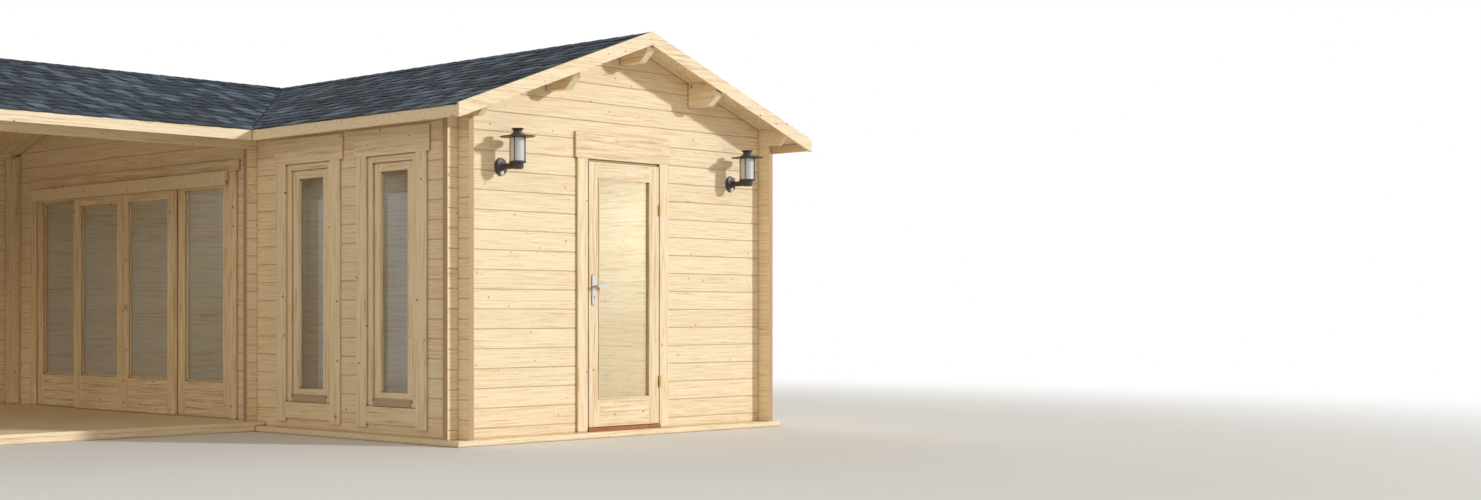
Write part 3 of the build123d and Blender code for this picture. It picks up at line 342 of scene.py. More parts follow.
def spruce(name, along, across, seed, pitch=0.0, first=0.0, rails=(), fold=None, tone=0.0, boards=False,
           sawn=True, fibres=LOG_FIBRES, shades=(SPRING, SUMMER, RESIN)):
    """Planed spruce with its grain along one axis, or another wood with its own three shades."""
    made, tree = new_material(name)
    run, side, depth, lying = timber_axes(tree, along, across, rails, fold)
    lift, shift, pith, own = timber_chance(tree, side, lying, seed, pitch, first, boards)
    reach, radius, has_knot = knots(tree, run, side, shift, seed)
    flow = add(tree, "TexNoise", {
        "Vector": stretched(tree, run, side, depth, shift, 0.8, 6.0), "Scale": 1.0, "Detail": 2.0})
    late = rings(tree, flow, depth, lift, pith, reach, has_knot)
    streak = add(tree, "TexNoise", {
        "Vector": stretched(tree, run, side, depth, shift, 2.5, fibres), "Scale": 1.0, "Detail": 5.0,
        "Roughness": 0.7})
    fibre = add(tree, "Math SUBTRACT", streak, 0.5)
    own_tone = add(tree, "Math MULTIPLY_ADD", own, 0.18, tone + 0.02)
    contrast, knot_cover, painted_shade_cover = LOG_LOOK if pitch else BOARD_LOOK
    wood = grain_colour(tree, late, flow, fibre, own_tone, contrast, shades)

    half = add(tree, "Math MULTIPLY", radius, 0.5)
    knot = add(tree, "MapRange", reach, radius, half, interpolation_type="SMOOTHSTEP")
    knot = add(tree, "Math MULTIPLY", knot, has_knot)
    if sawn:
        wood, is_end = end_grain(tree, wood, late, along, lying)
        knot = add(tree, "Math MULTIPLY", knot, add(tree, "Math SUBTRACT", 1.0, is_end))
    # Painted shade: an occlusion test darkens the wood towards a warm brown in corners and creases
    corner = add(tree, "AmbientOcclusion", {"Distance": 0.02}, samples=6, only_local=False)
    painted_corner_shade = add(tree, "MapRange", corner.outputs["AO"], 0.85, 0.45)
    covers = [(knot, knot_cover, KNOT), (painted_corner_shade, painted_shade_cover, JOINT_AND_PAINTED_SHADE)]
    if pitch:
        to_joint = add(tree, "Math SUBTRACT", pitch / 2, add(tree, "Math ABSOLUTE", lift))
        covers.insert(1, (add(tree, "MapRange", to_joint, SEAM_START, SEAM_FULL), SEAM_COVER, JOINT_AND_PAINTED_SHADE))
    for cover, share, shade in covers:
        cover = add(tree, "Math MULTIPLY", cover, share)
        wood = add(tree, "Mix", cover, wood, colour(shade), data_type="RGBA")

    relief = add(tree, "Math MULTIPLY_ADD", fibre, 0.6, late)
    add(tree, "OutputMaterial", add(tree, "BsdfPrincipled", {
        "Base Color": wood,
        "Roughness": add(tree, "Math MULTIPLY_ADD", late, -0.12, 0.62),
        "Specular IOR Level": 0.35,
        "Normal": add(tree, "Bump", {"Height": relief, "Strength": 0.25, "Distance": 0.0006}),
    }))
    return made


print("fibres in a metre:", LOG_FIBRES, BOARD_FIBRES)

# %% [markdown]
# ## Logs and beams
# Each wall wears the wood whose grain runs its own way. The courses of crossing walls are half a log apart, so
# each direction has its own height for the first joint.

# %% Spruce on the logs and beams
LOG = 0.134
JOINT_Y = 0.174         # first joint of the logs that run along Y
JOINT_X = 0.107         # first joint of the logs that run along X

wear(spruce("planed_spruce_logs_along_x", "X", "Z", 3.0, pitch=LOG, first=JOINT_X), "front_wall_left",
     "front_wall_right", "front_gable", "rear_gable_wall", "porch_back_wall", "porch_beam",
     "crossing_logs_left")
wear(spruce("planed_spruce_logs_along_y", "Y", "Z", 11.0, pitch=LOG, first=JOINT_Y), "window_wall",
     "right_wall", "porch_pier_near", "porch_pier_far", "porch_inner_gable", "porch_gable")
wear(spruce("planed_spruce_beams_along_x", "X", "Z", 5.0), "porch_purlins", "floor_joists")
wear(spruce("planed_spruce_beams_along_y", "Y", "Z", 6.0), "room_purlins")
wear(spruce("planed_spruce_edge_boards", "XY", "Z", 7.0, sawn=False), "porch_track_cover", "porch_door_head",
     "foundation_beams", "front_barge_boards", "rear_barge_boards", "eave_fascias", "porch_barge_boards")
wear(spruce("planed_spruce_uprights", "Z", "X", 8.0), "cover_boards", "porch_posts")
print("materials on logs and beams:", len(bpy.data.materials))

# %% [markdown]
# ## Joinery
# Doors, windows and their trims are made of stiles, which stand, and rails, which lie between or over them. A
# single grain direction would give the game away at every corner. So each piece's rails are listed by their
# place: limits along the wall, then limits in height. On pieces that come in pairs, the first two are measured
# from the line halfway between the pair.

# %% Spruce on the joinery
EVERYWHERE = (-9.0, 9.0)

wear(spruce("planed_spruce_front_trim", "Z", "X", 12.0, fibres=BOARD_FIBRES, tone=0.08, rails=[
    (*EVERYWHERE, 1.982, 3.0)]), "door_trim", "door_frame")
door_joinery = spruce("planed_spruce_door", "Z", "X", 15.0, fibres=BOARD_FIBRES, tone=0.08, fold=1.7, rails=[
    (0.0, 0.281, 0.0, 0.278), (0.0, 0.281, 1.841, 2.2)])
wear(door_joinery, "door_leaf")
wear(spruce("planed_spruce_window_trim", "Z", "Y", 13.0, fibres=BOARD_FIBRES, fold=1.069, rails=[
    (*EVERYWHERE, 1.9815, 3.0), (0.190, 0.684, 0.0, 0.232)]), "window_trim")
wear(spruce("planed_spruce_sash", "Z", "Y", 16.0, fibres=BOARD_FIBRES, fold=1.069, rails=[
    (0.237, 0.637, 0.0, 0.266), (0.302, 0.572, 0.266, 0.331), (0.302, 0.572, 1.869, 1.934),
    (0.237, 0.637, 1.934, 2.2)]), "window_frames")
# tone 0.12 paints shade: the porch trim and its doors are the same spruce, drawn darker and warmer for the
# shade under the porch roof
wear(spruce("planed_spruce_porch_trim", "Z", "Y", 14.0, fibres=BOARD_FIBRES, tone=0.12, rails=[
    (*EVERYWHERE, 1.975, 3.0)]), "porch_door_trim")
wear(spruce("planed_spruce_sliding_doors", "Z", "Y", 17.0, fibres=BOARD_FIBRES, fold=3.8, tone=0.12, rails=[
    (0.081, 0.619, 0.0, 0.351), (0.081, 0.619, 1.797, 2.2), (0.797, 1.282, 0.0, 0.344),
    (0.797, 1.282, 1.851, 2.2)]), "sliding_leaf_near", "sliding_leaf_far", "porch_fixed_panels")
print("spruce materials:", len([m for m in bpy.data.materials if m.name.startswith("planed")]))

# %% [markdown]
# ## Glass, metal and threshold
# Float glass is clear with a faint green edge; the windows' and porch doors' insulating glass has a coating
# that looks blue. The lanterns are powder-coated steel, brown and almost matt, which hides every brush mark;
# the drip caps under the windows are coated aluminium. Handle and rail are brushed stainless steel, the hinges
# yellow-passivated. The grain of a coat and the marks of a brush are finer than a tenth of a millimetre; they
# are drawn 2 to 5 mm wide so that they show. The threshold is oiled hardwood, because it is trodden on: the
# spruce recipe with darker shades makes it.


# %% Glass, metal and hardwood
def float_glass(name, tint, haze, clear=1.0):
    """Glass with a faint unevenness in its polish."""
    made, tree = new_material(name)
    cloud = add(tree, "TexNoise", {
        "Vector": add(tree, "TexCoord").outputs["Object"], "Scale": 3.0, "Detail": 2.0})
    add(tree, "OutputMaterial", add(tree, "BsdfPrincipled", {
        "Base Color": colour(tint),
        "Roughness": add(tree, "Math MULTIPLY", cloud, haze),
        "IOR": 1.5,
        "Transmission Weight": clear,
    }))
    return made


def metal(name, base, second, roughness, metallic, grit):
    """Metal, bare or coated, with a speckle in colour, polish and relief; grit counts it in a metre."""
    made, tree = new_material(name)
    speck = add(tree, "TexNoise", {
        "Vector": add(tree, "TexCoord").outputs["Object"], "Scale": grit, "Detail": 3.0})
    add(tree, "OutputMaterial", add(tree, "BsdfPrincipled", {
        "Base Color": add(tree, "Mix", speck, colour(base), colour(second), data_type="RGBA"),
        "Metallic": metallic,
        "Roughness": add(tree, "Math MULTIPLY_ADD", speck, 0.15, roughness),
        "Normal": add(tree, "Bump", {"Height": speck, "Strength": 0.15, "Distance": 0.0004}),
    }))
    return made


wear(float_glass("float_glass", "f4f8f7", 0.02), "door_glass")
wear(float_glass("coated_insulating_glass", "c2d1ea", 0.02), "window_glass", "porch_fixed_glass",
     "sliding_glass_near", "sliding_glass_far")
wear(float_glass("satin_lantern_glass", "efeeec", 0.9, clear=0.35), "lamp_glasses")
powder_coat = metal("brown_powder_coated_steel", "37302e", "4a413d", 0.40, 0.0, 600.0)
wear(powder_coat, "lamp_bodies")
wear(metal("taupe_coated_aluminium", "b89d80", "c4aa8e", 0.45, 0.0, 500.0), "window_drip_caps")
stainless = metal("brushed_stainless_steel", "d2d0cb", "bdbab4", 0.20, 1.0, 300.0)
wear(stainless, "door_handle_plates", "door_lever", "porch_door_rail")
wear(metal("yellow_passivated_steel", "d8b878", "c29f5e", 0.35, 1.0, 300.0), "door_hinge_pins",
     "door_hinge_knuckles")
lens_plastic = metal("white_lens_plastic", "d9d6d2", "cfccc8", 0.35, 0.0, 200.0)
wear(spruce("oiled_hardwood_threshold", "X", "Y", 21.0, tone=0.2, shades=("b4763a", "96592a", "774320")),
     "door_threshold")
print("materials so far:", len(bpy.data.materials))

# %% [markdown]
# ## Bitumen and slate
# A shingle is glass felt soaked in bitumen, with crushed slate pressed into its upper face. The granules are 1
# to 2 mm wide and hide the tar from the sun; they are drawn 6 mm wide so that they show. No two tabs have quite
# the same blend of dark and pale slate, so each piece of the roof carries a tone, and the material adds it to
# the grit and to the slow clouds that weather leaves.

# %% Bitumen shingle material
GRIT = 160.0            # granules in one metre


def shingle_material():
    """Slate granules pressed into bitumen; every tab has its own blend."""
    made, tree = new_material("bitumen_shingle_with_slate_granules")
    place = add(tree, "TexCoord").outputs["Object"]
    own = add(tree, "Attribute", attribute_name="tone").outputs["Fac"]
    cloud = add(tree, "TexNoise", {"Vector": place, "Scale": 9.0, "Detail": 3.0})
    grit = add(tree, "TexNoise", {"Vector": place, "Scale": GRIT, "Detail": 2.0})
    blend = add(tree, "Math MULTIPLY_ADD", own, 0.8, -0.05)
    level = add(tree, "Math MULTIPLY_ADD", cloud, 0.30, blend)
    level = add(tree, "Math ADD", add(tree, "Math SUBTRACT", grit, 0.5), level)
    add(tree, "OutputMaterial", add(tree, "BsdfPrincipled", {
        "Base Color": add(tree, "ValToRGB", level, stops=[
            (0.1, colour("0f151c")), (0.5, colour("26313d")), (1.0, colour("6d7986"))]),
        "Roughness": 0.9,
        "Specular IOR Level": 0.2,
        "Normal": add(tree, "Bump", {"Height": grit, "Strength": 0.5, "Distance": 0.0015}),
    }))
    return made


bitumen = shingle_material()
wear(bitumen, "roof_shingles", "ridge_caps")
print("granules drawn every", round(1000 / GRIT, 1), "mm")

# %% [markdown]
# ## Modelling helpers
# Most small parts of a cabin are boards: sawn to size, with their sharp edges planed off. So most pieces start
# as a block at its true size and place and are then worked in edit mode.


# %% Blocks and edits
def block(low, high):
    """A block between two corners, alone selected, its transforms applied."""
    bpy.ops.object.select_all(action="DESELECT")
    size = [b - a for a, b in zip(low, high)]
    middle = [(a + b) / 2 for a, b in zip(low, high)]
    bpy.ops.mesh.primitive_cube_add(size=1, location=middle, scale=size)
    bpy.ops.object.transform_apply(location=True, rotation=True, scale=True)
    return bpy.context.object


def edit_all():
    """Go into edit mode with everything selected."""
    bpy.ops.object.mode_set(mode="EDIT")
    bpy.ops.mesh.select_all(action="SELECT")


def pick(test):
    """In edit mode, select the corners that pass a test, and the edges and faces between them."""
    shape = bmesh.from_edit_mesh(bpy.context.object.data)
    for corner in shape.verts:
        corner.select_set(bool(test(corner.co)))
    shape.select_flush(True)
    bmesh.update_edit_mesh(bpy.context.object.data)


def chosen(*items):
    """Make these the only selected objects, the first one active."""
    bpy.ops.object.select_all(action="DESELECT")
    for item in items:
        item.select_set(True)
    bpy.context.view_layer.objects.active = items[0]


print("helpers: block, edit_all, pick, chosen")

# %% [markdown]
# ## Copies and joins
# A piece that repeats, such as a shingle tab, is modelled once and copied, each copy with a mesh of its own.
# The copies are joined, and the joined piece rides the cabin or the leaf that it is fixed to.


# %% Copies, cuts and joins
def copied(pattern, matrix, tone=0.5):
    """A copy with a mesh of its own, moved into place, with a tone for its material."""
    mesh = pattern.data.copy()
    mesh.transform(matrix)
    own = mesh.attributes.new("tone", "FLOAT", "FACE")
    own.data.foreach_set("value", [tone] * len(mesh.polygons))
    copy = bpy.data.objects.new(pattern.name, mesh)
    bpy.context.scene.collection.objects.link(copy)
    return copy


def sawn(item, point, away):
    """Saw off what lies beyond an upright plane and close the cut."""
    chosen(item)
    edit_all()
    bpy.ops.mesh.bisect(plane_co=point, plane_no=away, use_fill=True, clear_outer=True)
    bpy.ops.object.mode_set(mode="OBJECT")


def finished(items, name, material, body="cabin", smooth=None):
    """Join pieces, name them, give them their material and let them ride a body."""
    chosen(*items)
    if len(items) > 1:
        bpy.ops.object.join()
    item = bpy.context.object
    item.name = name
    item.data.name = name
    item.data.materials.clear()
    item.data.materials.append(material)
    if smooth:
        bpy.ops.object.shade_smooth_by_angle(angle=math.radians(smooth))
    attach(item, body)
    return item


print("helpers: copied, sawn, finished")

# %% [markdown]
# ## Roof planes
# All slopes rise 0.33 for each metre of run. Shingles and lining boards are laid out flat on a slope, with u
# along the eave and v up the slope, and one matrix per slope carries them onto it.

# %% Slopes
PITCH = 0.33
FALL = math.atan(PITCH)
EAVE_HEIGHT = 2.3
BOARD = 0.019           # roof boards, measured straight up
OVERHANG = 0.252        # of the boards, past the walls
ROOM_RIDGE_X, PORCH_RIDGE_Y = 1.7, 3.8
PORCH_FRONT_Y, PORCH_BACK_Y = 2.1, 5.5
ROOM_EAVE, PORCH_EAVE = 6.004, 5.352    # lengths along the two ridges


def slope_matrix(origin, up, rise):
    """From flat u, v and height to a roof plane, whose underside passes through an eave line."""
    up_slope = Vector((up[0] * math.cos(FALL), up[1] * math.cos(FALL), math.sin(FALL)))
    normal = Vector((-up[0] * math.sin(FALL), -up[1] * math.sin(FALL), math.cos(FALL)))
    u = up_slope.cross(normal)
    matrix = Matrix((u, up_slope, normal)).transposed().to_4x4()
    matrix.translation = Vector((*origin, EAVE_HEIGHT + rise))
    return matrix


# Each slope: corner at the eave where u starts, direction up the slope, length of the eave
SLOPES = {
    "room_left": ((0.0, 5.752), (1, 0), ROOM_EAVE),
    "room_right": ((3.4, -OVERHANG), (-1, 0), ROOM_EAVE),
    "porch_front": ((-3.652, PORCH_FRONT_Y), (0, 1), PORCH_EAVE),
    "porch_back": ((ROOM_RIDGE_X, PORCH_BACK_Y), (0, -1), PORCH_EAVE),
}
print("slope of the roof:", round(math.degrees(FALL), 1), "degrees")

# %% [markdown]
# ## Valleys
# Where the porch roof meets the room's roof, both end at a valley that runs at 45 degrees in plan. Whatever
# crosses it is sawn there.

# %% Valleys
VALLEYS = {             # y where the valley crosses the wall, direction in which material is sawn off
    "room_left_front": (PORCH_FRONT_Y, (-1, 1, 0)),
    "room_left_back": (PORCH_BACK_Y, (-1, -1, 0)),
    "porch_front": (PORCH_FRONT_Y, (1, -1, 0)),
    "porch_back": (PORCH_BACK_Y, (1, 1, 0)),
}


def laid(pattern, matrix, slope, tone=0.5, gap=0.0):
    """Copies on a slope, left out or sawn where they reach over a valley, less a gap."""
    corners = [matrix @ Vector(c) for c in pattern.bound_box]
    if slope == "room_left":
        pieces = []
        if min(c.y for c in corners) < PORCH_RIDGE_Y:
            pieces += laid(pattern, matrix, "room_left_front", tone, gap)
        if max(c.y for c in corners) > PORCH_RIDGE_Y:
            pieces += laid(pattern, matrix, "room_left_back", tone, gap)
        return pieces
    if slope not in VALLEYS:
        return [copied(pattern, matrix, tone)]
    away = Vector(VALLEYS[slope][1])
    point = Vector((0, VALLEYS[slope][0], 0)) - away.normalized() * gap
    beyond = [(c - point).dot(away) > 0 for c in corners]
    if all(beyond):
        return []
    copy = copied(pattern, matrix, tone)
    if any(beyond):
        sawn(copy, point, away)
    return [copy]


print("cuts along valleys:", len(VALLEYS))

# %% [markdown]
# ## Bitumen shingles
# Laminated shingles come as strips a metre long, with a second layer of tabs of uneven width bonded on, so
# that a roof shows broken shadows and not a grid. Each strip covers the nails of the one below it. A bumpy
# texture would give no shadows and a smooth roof edge; here every strip and tab is a thin wedge of its own,
# thick at its lower edge and thin where the next course covers it.

# %% One strip and one tab
COURSES = 14
EAVE_REACH = 0.272      # the tabs' noses then end with the drip edge
SLOPE_LENGTH = (ROOM_RIDGE_X + EAVE_REACH) / math.cos(FALL)
EXPOSURE = SLOPE_LENGTH / COURSES
LAP = 0.03              # how far a strip runs on under the next course
STRIP_THICK, STRIP_TAPER = 0.0055, 0.0045
TAB_TOP, TAB_TAPER = 0.008, 0.0035

strip = block((0, 0, 0), (1, EXPOSURE + LAP, STRIP_THICK))
bpy.ops.object.mode_set(mode="EDIT")
pick(lambda c: c.y > EXPOSURE and c.z > 0.003)
bpy.ops.transform.translate(value=(0, 0, -STRIP_TAPER))
bpy.ops.object.mode_set(mode="OBJECT")

tab = block((0, -0.004, 0.001), (1, EXPOSURE - 0.012, TAB_TOP))
bpy.ops.object.mode_set(mode="EDIT")
pick(lambda c: c.y > 0.05 and c.z > 0.003)
bpy.ops.transform.translate(value=(0, 0, -TAB_TAPER))
pick(lambda c: c.y < 0)
bpy.ops.transform.resize(value=(0.9, 1, 1), center_override=(0.5, 0, 0))
bpy.ops.object.mode_set(mode="OBJECT")
print("each course shows", round(EXPOSURE * 1000), "mm")

# %% Shingle courses
STRIP_LENGTH, STRIP_GAP = 1.0, 0.002
VALLEY_GAP = 0.006      # each side of the valley, where the shingles are trimmed
SHORTEST_STRIP, NARROWEST_TAB = 0.03, 0.04
TAB_WIDTHS, TAB_GAPS = (0.09, 0.22), (0.04, 0.13)
STRIP_TONES, TAB_TONES = (0.0, 0.5), (0.3, 0.95)

random.seed(7)
shingles = []
for slope, (corner, up, eave_length) in SLOPES.items():
    base = slope_matrix(corner, up, BOARD)
    for course in range(COURSES):
        v = course * EXPOSURE - EAVE_REACH / math.cos(FALL)
        stretch = 1.0 if course < COURSES - 1 else EXPOSURE / (EXPOSURE + LAP)
        u = -random.uniform(0.05, 0.9)
        while u < eave_length:
            start, end = max(u, 0.0), min(u + STRIP_LENGTH, eave_length)
            if end - start > SHORTEST_STRIP:
                place = Matrix.Translation((start, v, 0)) @ Matrix.Diagonal((end - start, stretch, 1, 1))
                shingles += laid(strip, base @ place, slope, random.uniform(*STRIP_TONES), VALLEY_GAP)
            tooth = u + random.uniform(0.0, 0.05)
            while tooth < u + 0.97:
                width = random.uniform(*TAB_WIDTHS)
                start, end = max(tooth, 0.0), min(tooth + width, eave_length)
                if end - start > NARROWEST_TAB:
                    place = Matrix.Translation((start, v, 0)) @ Matrix.Diagonal((end - start, 1, 1, 1))
                    shingles += laid(tab, base @ place, slope, random.uniform(*TAB_TONES), VALLEY_GAP)
                tooth += width + random.uniform(*TAB_GAPS)
            u += STRIP_LENGTH + STRIP_GAP
print("strips and tabs:", len(shingles))
roof = finished(shingles, "shingle_courses", bitumen)
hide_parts("roof_shingles")
for pattern in (strip, tab):
    bpy.data.objects.remove(pattern)
print("shingle faces:", len(roof.data.polygons))

# %% [markdown]
# ## Valley linings
# Under the trimmed shingles a strip of bitumen sheet is folded into each valley, and it shows as a dark line.
# A strip is one thin block, folded along its middle; one matrix turns it by 45 degrees and tilts it up the
# valley.

# %% Valley strips
VALLEY_HALF = 0.06
VALLEY_FOOT, VALLEY_HEAD = -0.21, 1.68  # in plan, past the wall's line and short of the ridge
diagonal = math.sqrt(0.5)
sheet = block((-VALLEY_HALF, VALLEY_FOOT / diagonal, 0), (VALLEY_HALF, VALLEY_HEAD / diagonal, 0.001))
edit_all()
bpy.ops.mesh.bisect(plane_co=(0, 0, 0), plane_no=(1, 0, 0))
pick(lambda c: abs(c.x) > 0.05)
bpy.ops.transform.translate(value=(0, 0, VALLEY_HALF * PITCH * diagonal))
bpy.ops.object.mode_set(mode="OBJECT")
sheets = []
for start, side in ((PORCH_FRONT_Y, 1), (PORCH_BACK_Y, -1)):
    turn = Matrix(((diagonal, diagonal, 0, 0), (-side * diagonal, side * diagonal, 0, start),
                   (0, PITCH * diagonal, 1, EAVE_HEIGHT + BOARD + 0.0002), (0, 0, 0, 1)))
    sheets.append(copied(sheet, turn, 0.0))
    if side < 0:
        sheets[-1].data.flip_normals()
finished(sheets, "valley_linings", bitumen)
bpy.data.objects.remove(sheet)
print("length of a valley:", round((VALLEY_HEAD - VALLEY_FOOT) / diagonal, 2), "m in plan")

# %% [markdown]
# ## Ridge caps
# The ridge is closed with single tabs bent over it, each lapped over the one before. One tab is a thin block
# with a fold along its middle; its exposed end is a little higher, so the row steps like roof tiles.

# %% Ridge cap tabs
CAP_HALF, CAP_LONG, CAP_STEP = 0.128, 0.25, 0.148
RIDGE = EAVE_HEIGHT + PITCH * ROOM_RIDGE_X + BOARD

cap = block((-CAP_HALF, 0, 0.0035), (CAP_HALF, CAP_LONG, 0.0065))
edit_all()
bpy.ops.mesh.bisect(plane_co=(0, 0, 0), plane_no=(1, 0, 0))
pick(lambda c: abs(c.x) > 0.05)
bpy.ops.transform.translate(value=(0, 0, -CAP_HALF * PITCH))
pick(lambda c: c.y < 0.01)
bpy.ops.transform.translate(value=(0, 0, 0.005))
bpy.ops.object.mode_set(mode="OBJECT")

caps = []
for count, length, turn, start in (
    (41, ROOM_EAVE, 0, (ROOM_RIDGE_X, -OVERHANG)),
    (37, PORCH_EAVE, -90, (-3.652, PORCH_RIDGE_Y)),
):
    row = Matrix.Translation((*start, RIDGE)) @ Matrix.Rotation(math.radians(turn), 4, "Z")
    for n in range(count):
        here = min(n * CAP_STEP, length - CAP_LONG)
        caps.append(copied(cap, row @ Matrix.Translation((0, here, 0)), random.uniform(0.2, 0.8)))
ridge = finished(caps, "ridge_cap_tabs", bitumen)
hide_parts("ridge_caps")
bpy.data.objects.remove(cap)
print("caps:", len(caps))

# %% [markdown]
# ## Lining boards
# The roof deck is tongued and grooved board, laid from eave to ridge, and its planed side with the small V
# joints is what shows under the porch roof. Drawn lines would vanish at a glancing view; real chamfers keep
# their shadow.


# %% Roof lining
def eased(low, high, test, width):
    """A block with the edges between some of its corners planed off."""
    made = block(low, high)
    bpy.ops.object.mode_set(mode="EDIT")
    pick(test)
    bpy.ops.mesh.bevel(offset=width, segments=1)
    bpy.ops.object.mode_set(mode="OBJECT")
    return made


LINING = 0.096
LINING_LENGTH = (ROOM_RIDGE_X + OVERHANG) / math.cos(FALL) - 0.002
LINING_THICK = BOARD * math.cos(FALL) - 0.0004
lining = eased((0, 0.006, 0), (LINING - 0.0006, LINING_LENGTH, LINING_THICK), lambda c: c.z < 0.001, 0.004)
for part, along, across, seed, names, node in (
    ("room", "X", "Y", 31.0, ("room_left", "room_right"), "room_roof_boards"),
    ("porch", "Y", "X", 32.0, ("porch_front", "porch_back"), "porch_roof_boards"),
):
    wood = spruce("planed_spruce_lining_of_the_" + part, along, across, seed, boards=True, sawn=False)
    boards = []
    for name in names:
        corner, up, eave_length = SLOPES[name]
        base = slope_matrix(corner, up, 0.0)
        for n in range(math.ceil(eave_length / LINING)):
            width = min(1.0, (eave_length - n * LINING) / LINING)
            place = Matrix.Translation((n * LINING, -OVERHANG / math.cos(FALL), 0))
            boards += laid(lining, base @ place @ Matrix.Diagonal((width, 1, 1, 1)), name)
    deck = finished(boards, part + "_lining_boards", wood)
    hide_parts(node)
    print(part, "lining boards:", len(boards))
bpy.data.objects.remove(lining)

# %% [markdown]
# ## Floors
# The floors are boards with eased edges and a gap of a few millimetres, so that rain runs through under the
# porch. They are cut out round the crossing logs and the back post, as a carpenter would: the boards are laid
# first, and one boolean cut per obstacle notches them.


# %% Floor boards
def cut_out(item, low, high):
    """Cut a block between two corners out of a piece."""
    cutter = block(low, high)
    chosen(item)
    cut = item.modifiers.new("cut", "BOOLEAN")
    cut.operation = "DIFFERENCE"
    cut.object = cutter
    bpy.ops.object.modifier_apply(modifier=cut.name)
    bpy.data.objects.remove(cutter)


def floor_of(node, low, high, pitch, gap, *holes):
    """Boards along X between two corners, notched round some obstacles."""
    pattern = eased((low[0], 0, low[2]), (high[0], pitch - gap, high[2]),
                    lambda c: c.z > (low[2] + high[2]) / 2, 0.002)
    boards = []
    for n in range(math.ceil((high[1] - low[1]) / pitch)):
        width = min(1.0, (high[1] - low[1] - n * pitch) / pitch)
        if width > 0.2:
            place = Matrix.Translation((0, low[1] + n * pitch, 0)) @ Matrix.Diagonal((1, width, 1, 1))
            boards.append(copied(pattern, place))
    made = finished(boards, node + "_boards", floor_wood)
    for hole in holes:
        cut_out(made, *hole)
    bpy.data.objects.remove(pattern)
    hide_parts(node)
    print(made.name, len(boards), "boards")


# tone -0.2 paints the floor boards paler than the other spruce: painted light, for the light that falls on the
# porch floor
floor_wood = spruce("planed_spruce_floor_boards", "X", "Y", 41.0, tone=-0.2, boards=True)
wear(floor_wood, "porch_floor", "room_floor")
floor_of("porch_floor", (-3.5, 2.0, 0.04), (0.0, 5.455, 0.068), 0.096, 0.003,
         ((-0.1, 2.1, 0.0), (0.1, 2.145, 0.1)), ((-3.4375, 5.4175, 0.0), (-3.3175, 5.5, 0.1)))
floor_of("room_floor", (0.045, 0.045, 0.04), (3.355, 5.455, 0.06), 0.121, 0.0006,
         ((0.0, 2.1, 0.0), (0.145, 2.145, 0.1)))

# %% [markdown]
# ## Eased edges
# Every board of the joinery has its edges rounded by a millimetre or two, or paint and fingers would suffer.
# The bright line of such an edge is what separates one pale board from the next in the picture. It is a
# modifier on the CAD boards, so their shape stays as it was built.

# %% Rounded edges on boards and leaves
JOINERY = ("door_trim", "window_trim", "porch_door_trim", "door_leaf", "door_frame", "window_frames",
           "sliding_leaf_near", "sliding_leaf_far", "porch_fixed_panels", "porch_track_cover", "cover_boards",
           "porch_posts", "front_barge_boards", "porch_barge_boards", "eave_fascias")
for name in JOINERY:
    rounding = nodes[name].modifiers.new("eased_edges", "BEVEL")
    rounding.width = 0.002
    rounding.segments = 1
    rounding.limit_method = "ANGLE"
    rounding.angle_limit = math.radians(50)
print("nodes with eased edges:", len(JOINERY))

# %% [markdown]
# ## Glazing bead of the door
# The pane is held by a thin moulding that stands a few millimetres proud of the stiles. It is one ring: a
# plane of the outer size, inset, its middle taken out, extruded and bevelled.


# %% A ring of beading
def bead_ring(low, high, y, width, height):
    """A rectangular ring on a face that looks along -Y."""
    bpy.ops.object.select_all(action="DESELECT")
    middle = ((low[0] + high[0]) / 2, y, (low[1] + high[1]) / 2)
    bpy.ops.mesh.primitive_plane_add(size=1, location=middle, rotation=(math.radians(90), 0, 0))
    bpy.context.object.scale = (high[0] - low[0], high[1] - low[1], 1)
    bpy.ops.object.transform_apply(location=True, rotation=True, scale=True)
    edit_all()
    bpy.ops.mesh.inset(thickness=width)
    bpy.ops.mesh.delete(type="FACE")
    bpy.ops.mesh.select_all(action="SELECT")
    bpy.ops.mesh.extrude_region_move(TRANSFORM_OT_translate={"value": (0, -height, 0)})
    bpy.ops.mesh.select_all(action="SELECT")
    bpy.ops.mesh.normals_make_consistent(inside=False)
    pick(lambda c: c.y < y - height / 2)
    bpy.ops.mesh.bevel(offset=height * 0.45, segments=2)
    bpy.ops.object.mode_set(mode="OBJECT")
    return bpy.context.object


LEAF_FACE = -0.018
bead = bead_ring((1.409, 0.268), (1.991, 1.851), LEAF_FACE, width=0.012, height=0.004)
finished([bead], "door_glazing_bead", door_joinery, body="front_door", smooth=40)
print("bead faces:", len(bead.data.polygons))

# %% [markdown]
# ## Lanterns
# Each lantern is spun and pressed sheet steel: a dished plate on the wall, a thick arm, a cup, a body of four
# bars round a satin glass, and a wide flat hat with a small flared cap. Round parts could be stacked
# cylinders, but a pressed edge is never sharp; here each is a profile, drawn point by point and spun round its
# axis, as on a lathe. A pale motion sensor sits on the plate under the arm.


# %% Turning a profile
def turned(points, matrix, steps):
    """A solid of revolution from (radius, height) points that begin and end on the axis."""
    bpy.ops.object.select_all(action="DESELECT")
    bpy.ops.mesh.primitive_plane_add(size=0.01, location=(0, 0, 0))
    item = bpy.context.object
    edit_all()
    bpy.ops.mesh.merge(type="CENTER")
    bpy.ops.mesh.select_all(action="SELECT")
    bpy.ops.transform.translate(value=(points[0][0], 0, points[0][1]))
    for (radius, height), (next_radius, next_height) in zip(points, points[1:]):
        step = (next_radius - radius, 0, next_height - height)
        bpy.ops.mesh.extrude_vertices_move(TRANSFORM_OT_translate={"value": step})
    bpy.ops.mesh.select_all(action="SELECT")
    bpy.ops.mesh.spin(steps=steps, angle=2 * math.pi, center=(0, 0, 0), axis=(0, 0, 1))
    bpy.ops.mesh.select_all(action="SELECT")
    bpy.ops.mesh.remove_doubles(threshold=0.00005)
    bpy.ops.mesh.normals_make_consistent(inside=False)
    bpy.ops.object.mode_set(mode="OBJECT")
    item.data.transform(matrix)
    return item


print("a profile is spun in 24 to 48 steps")

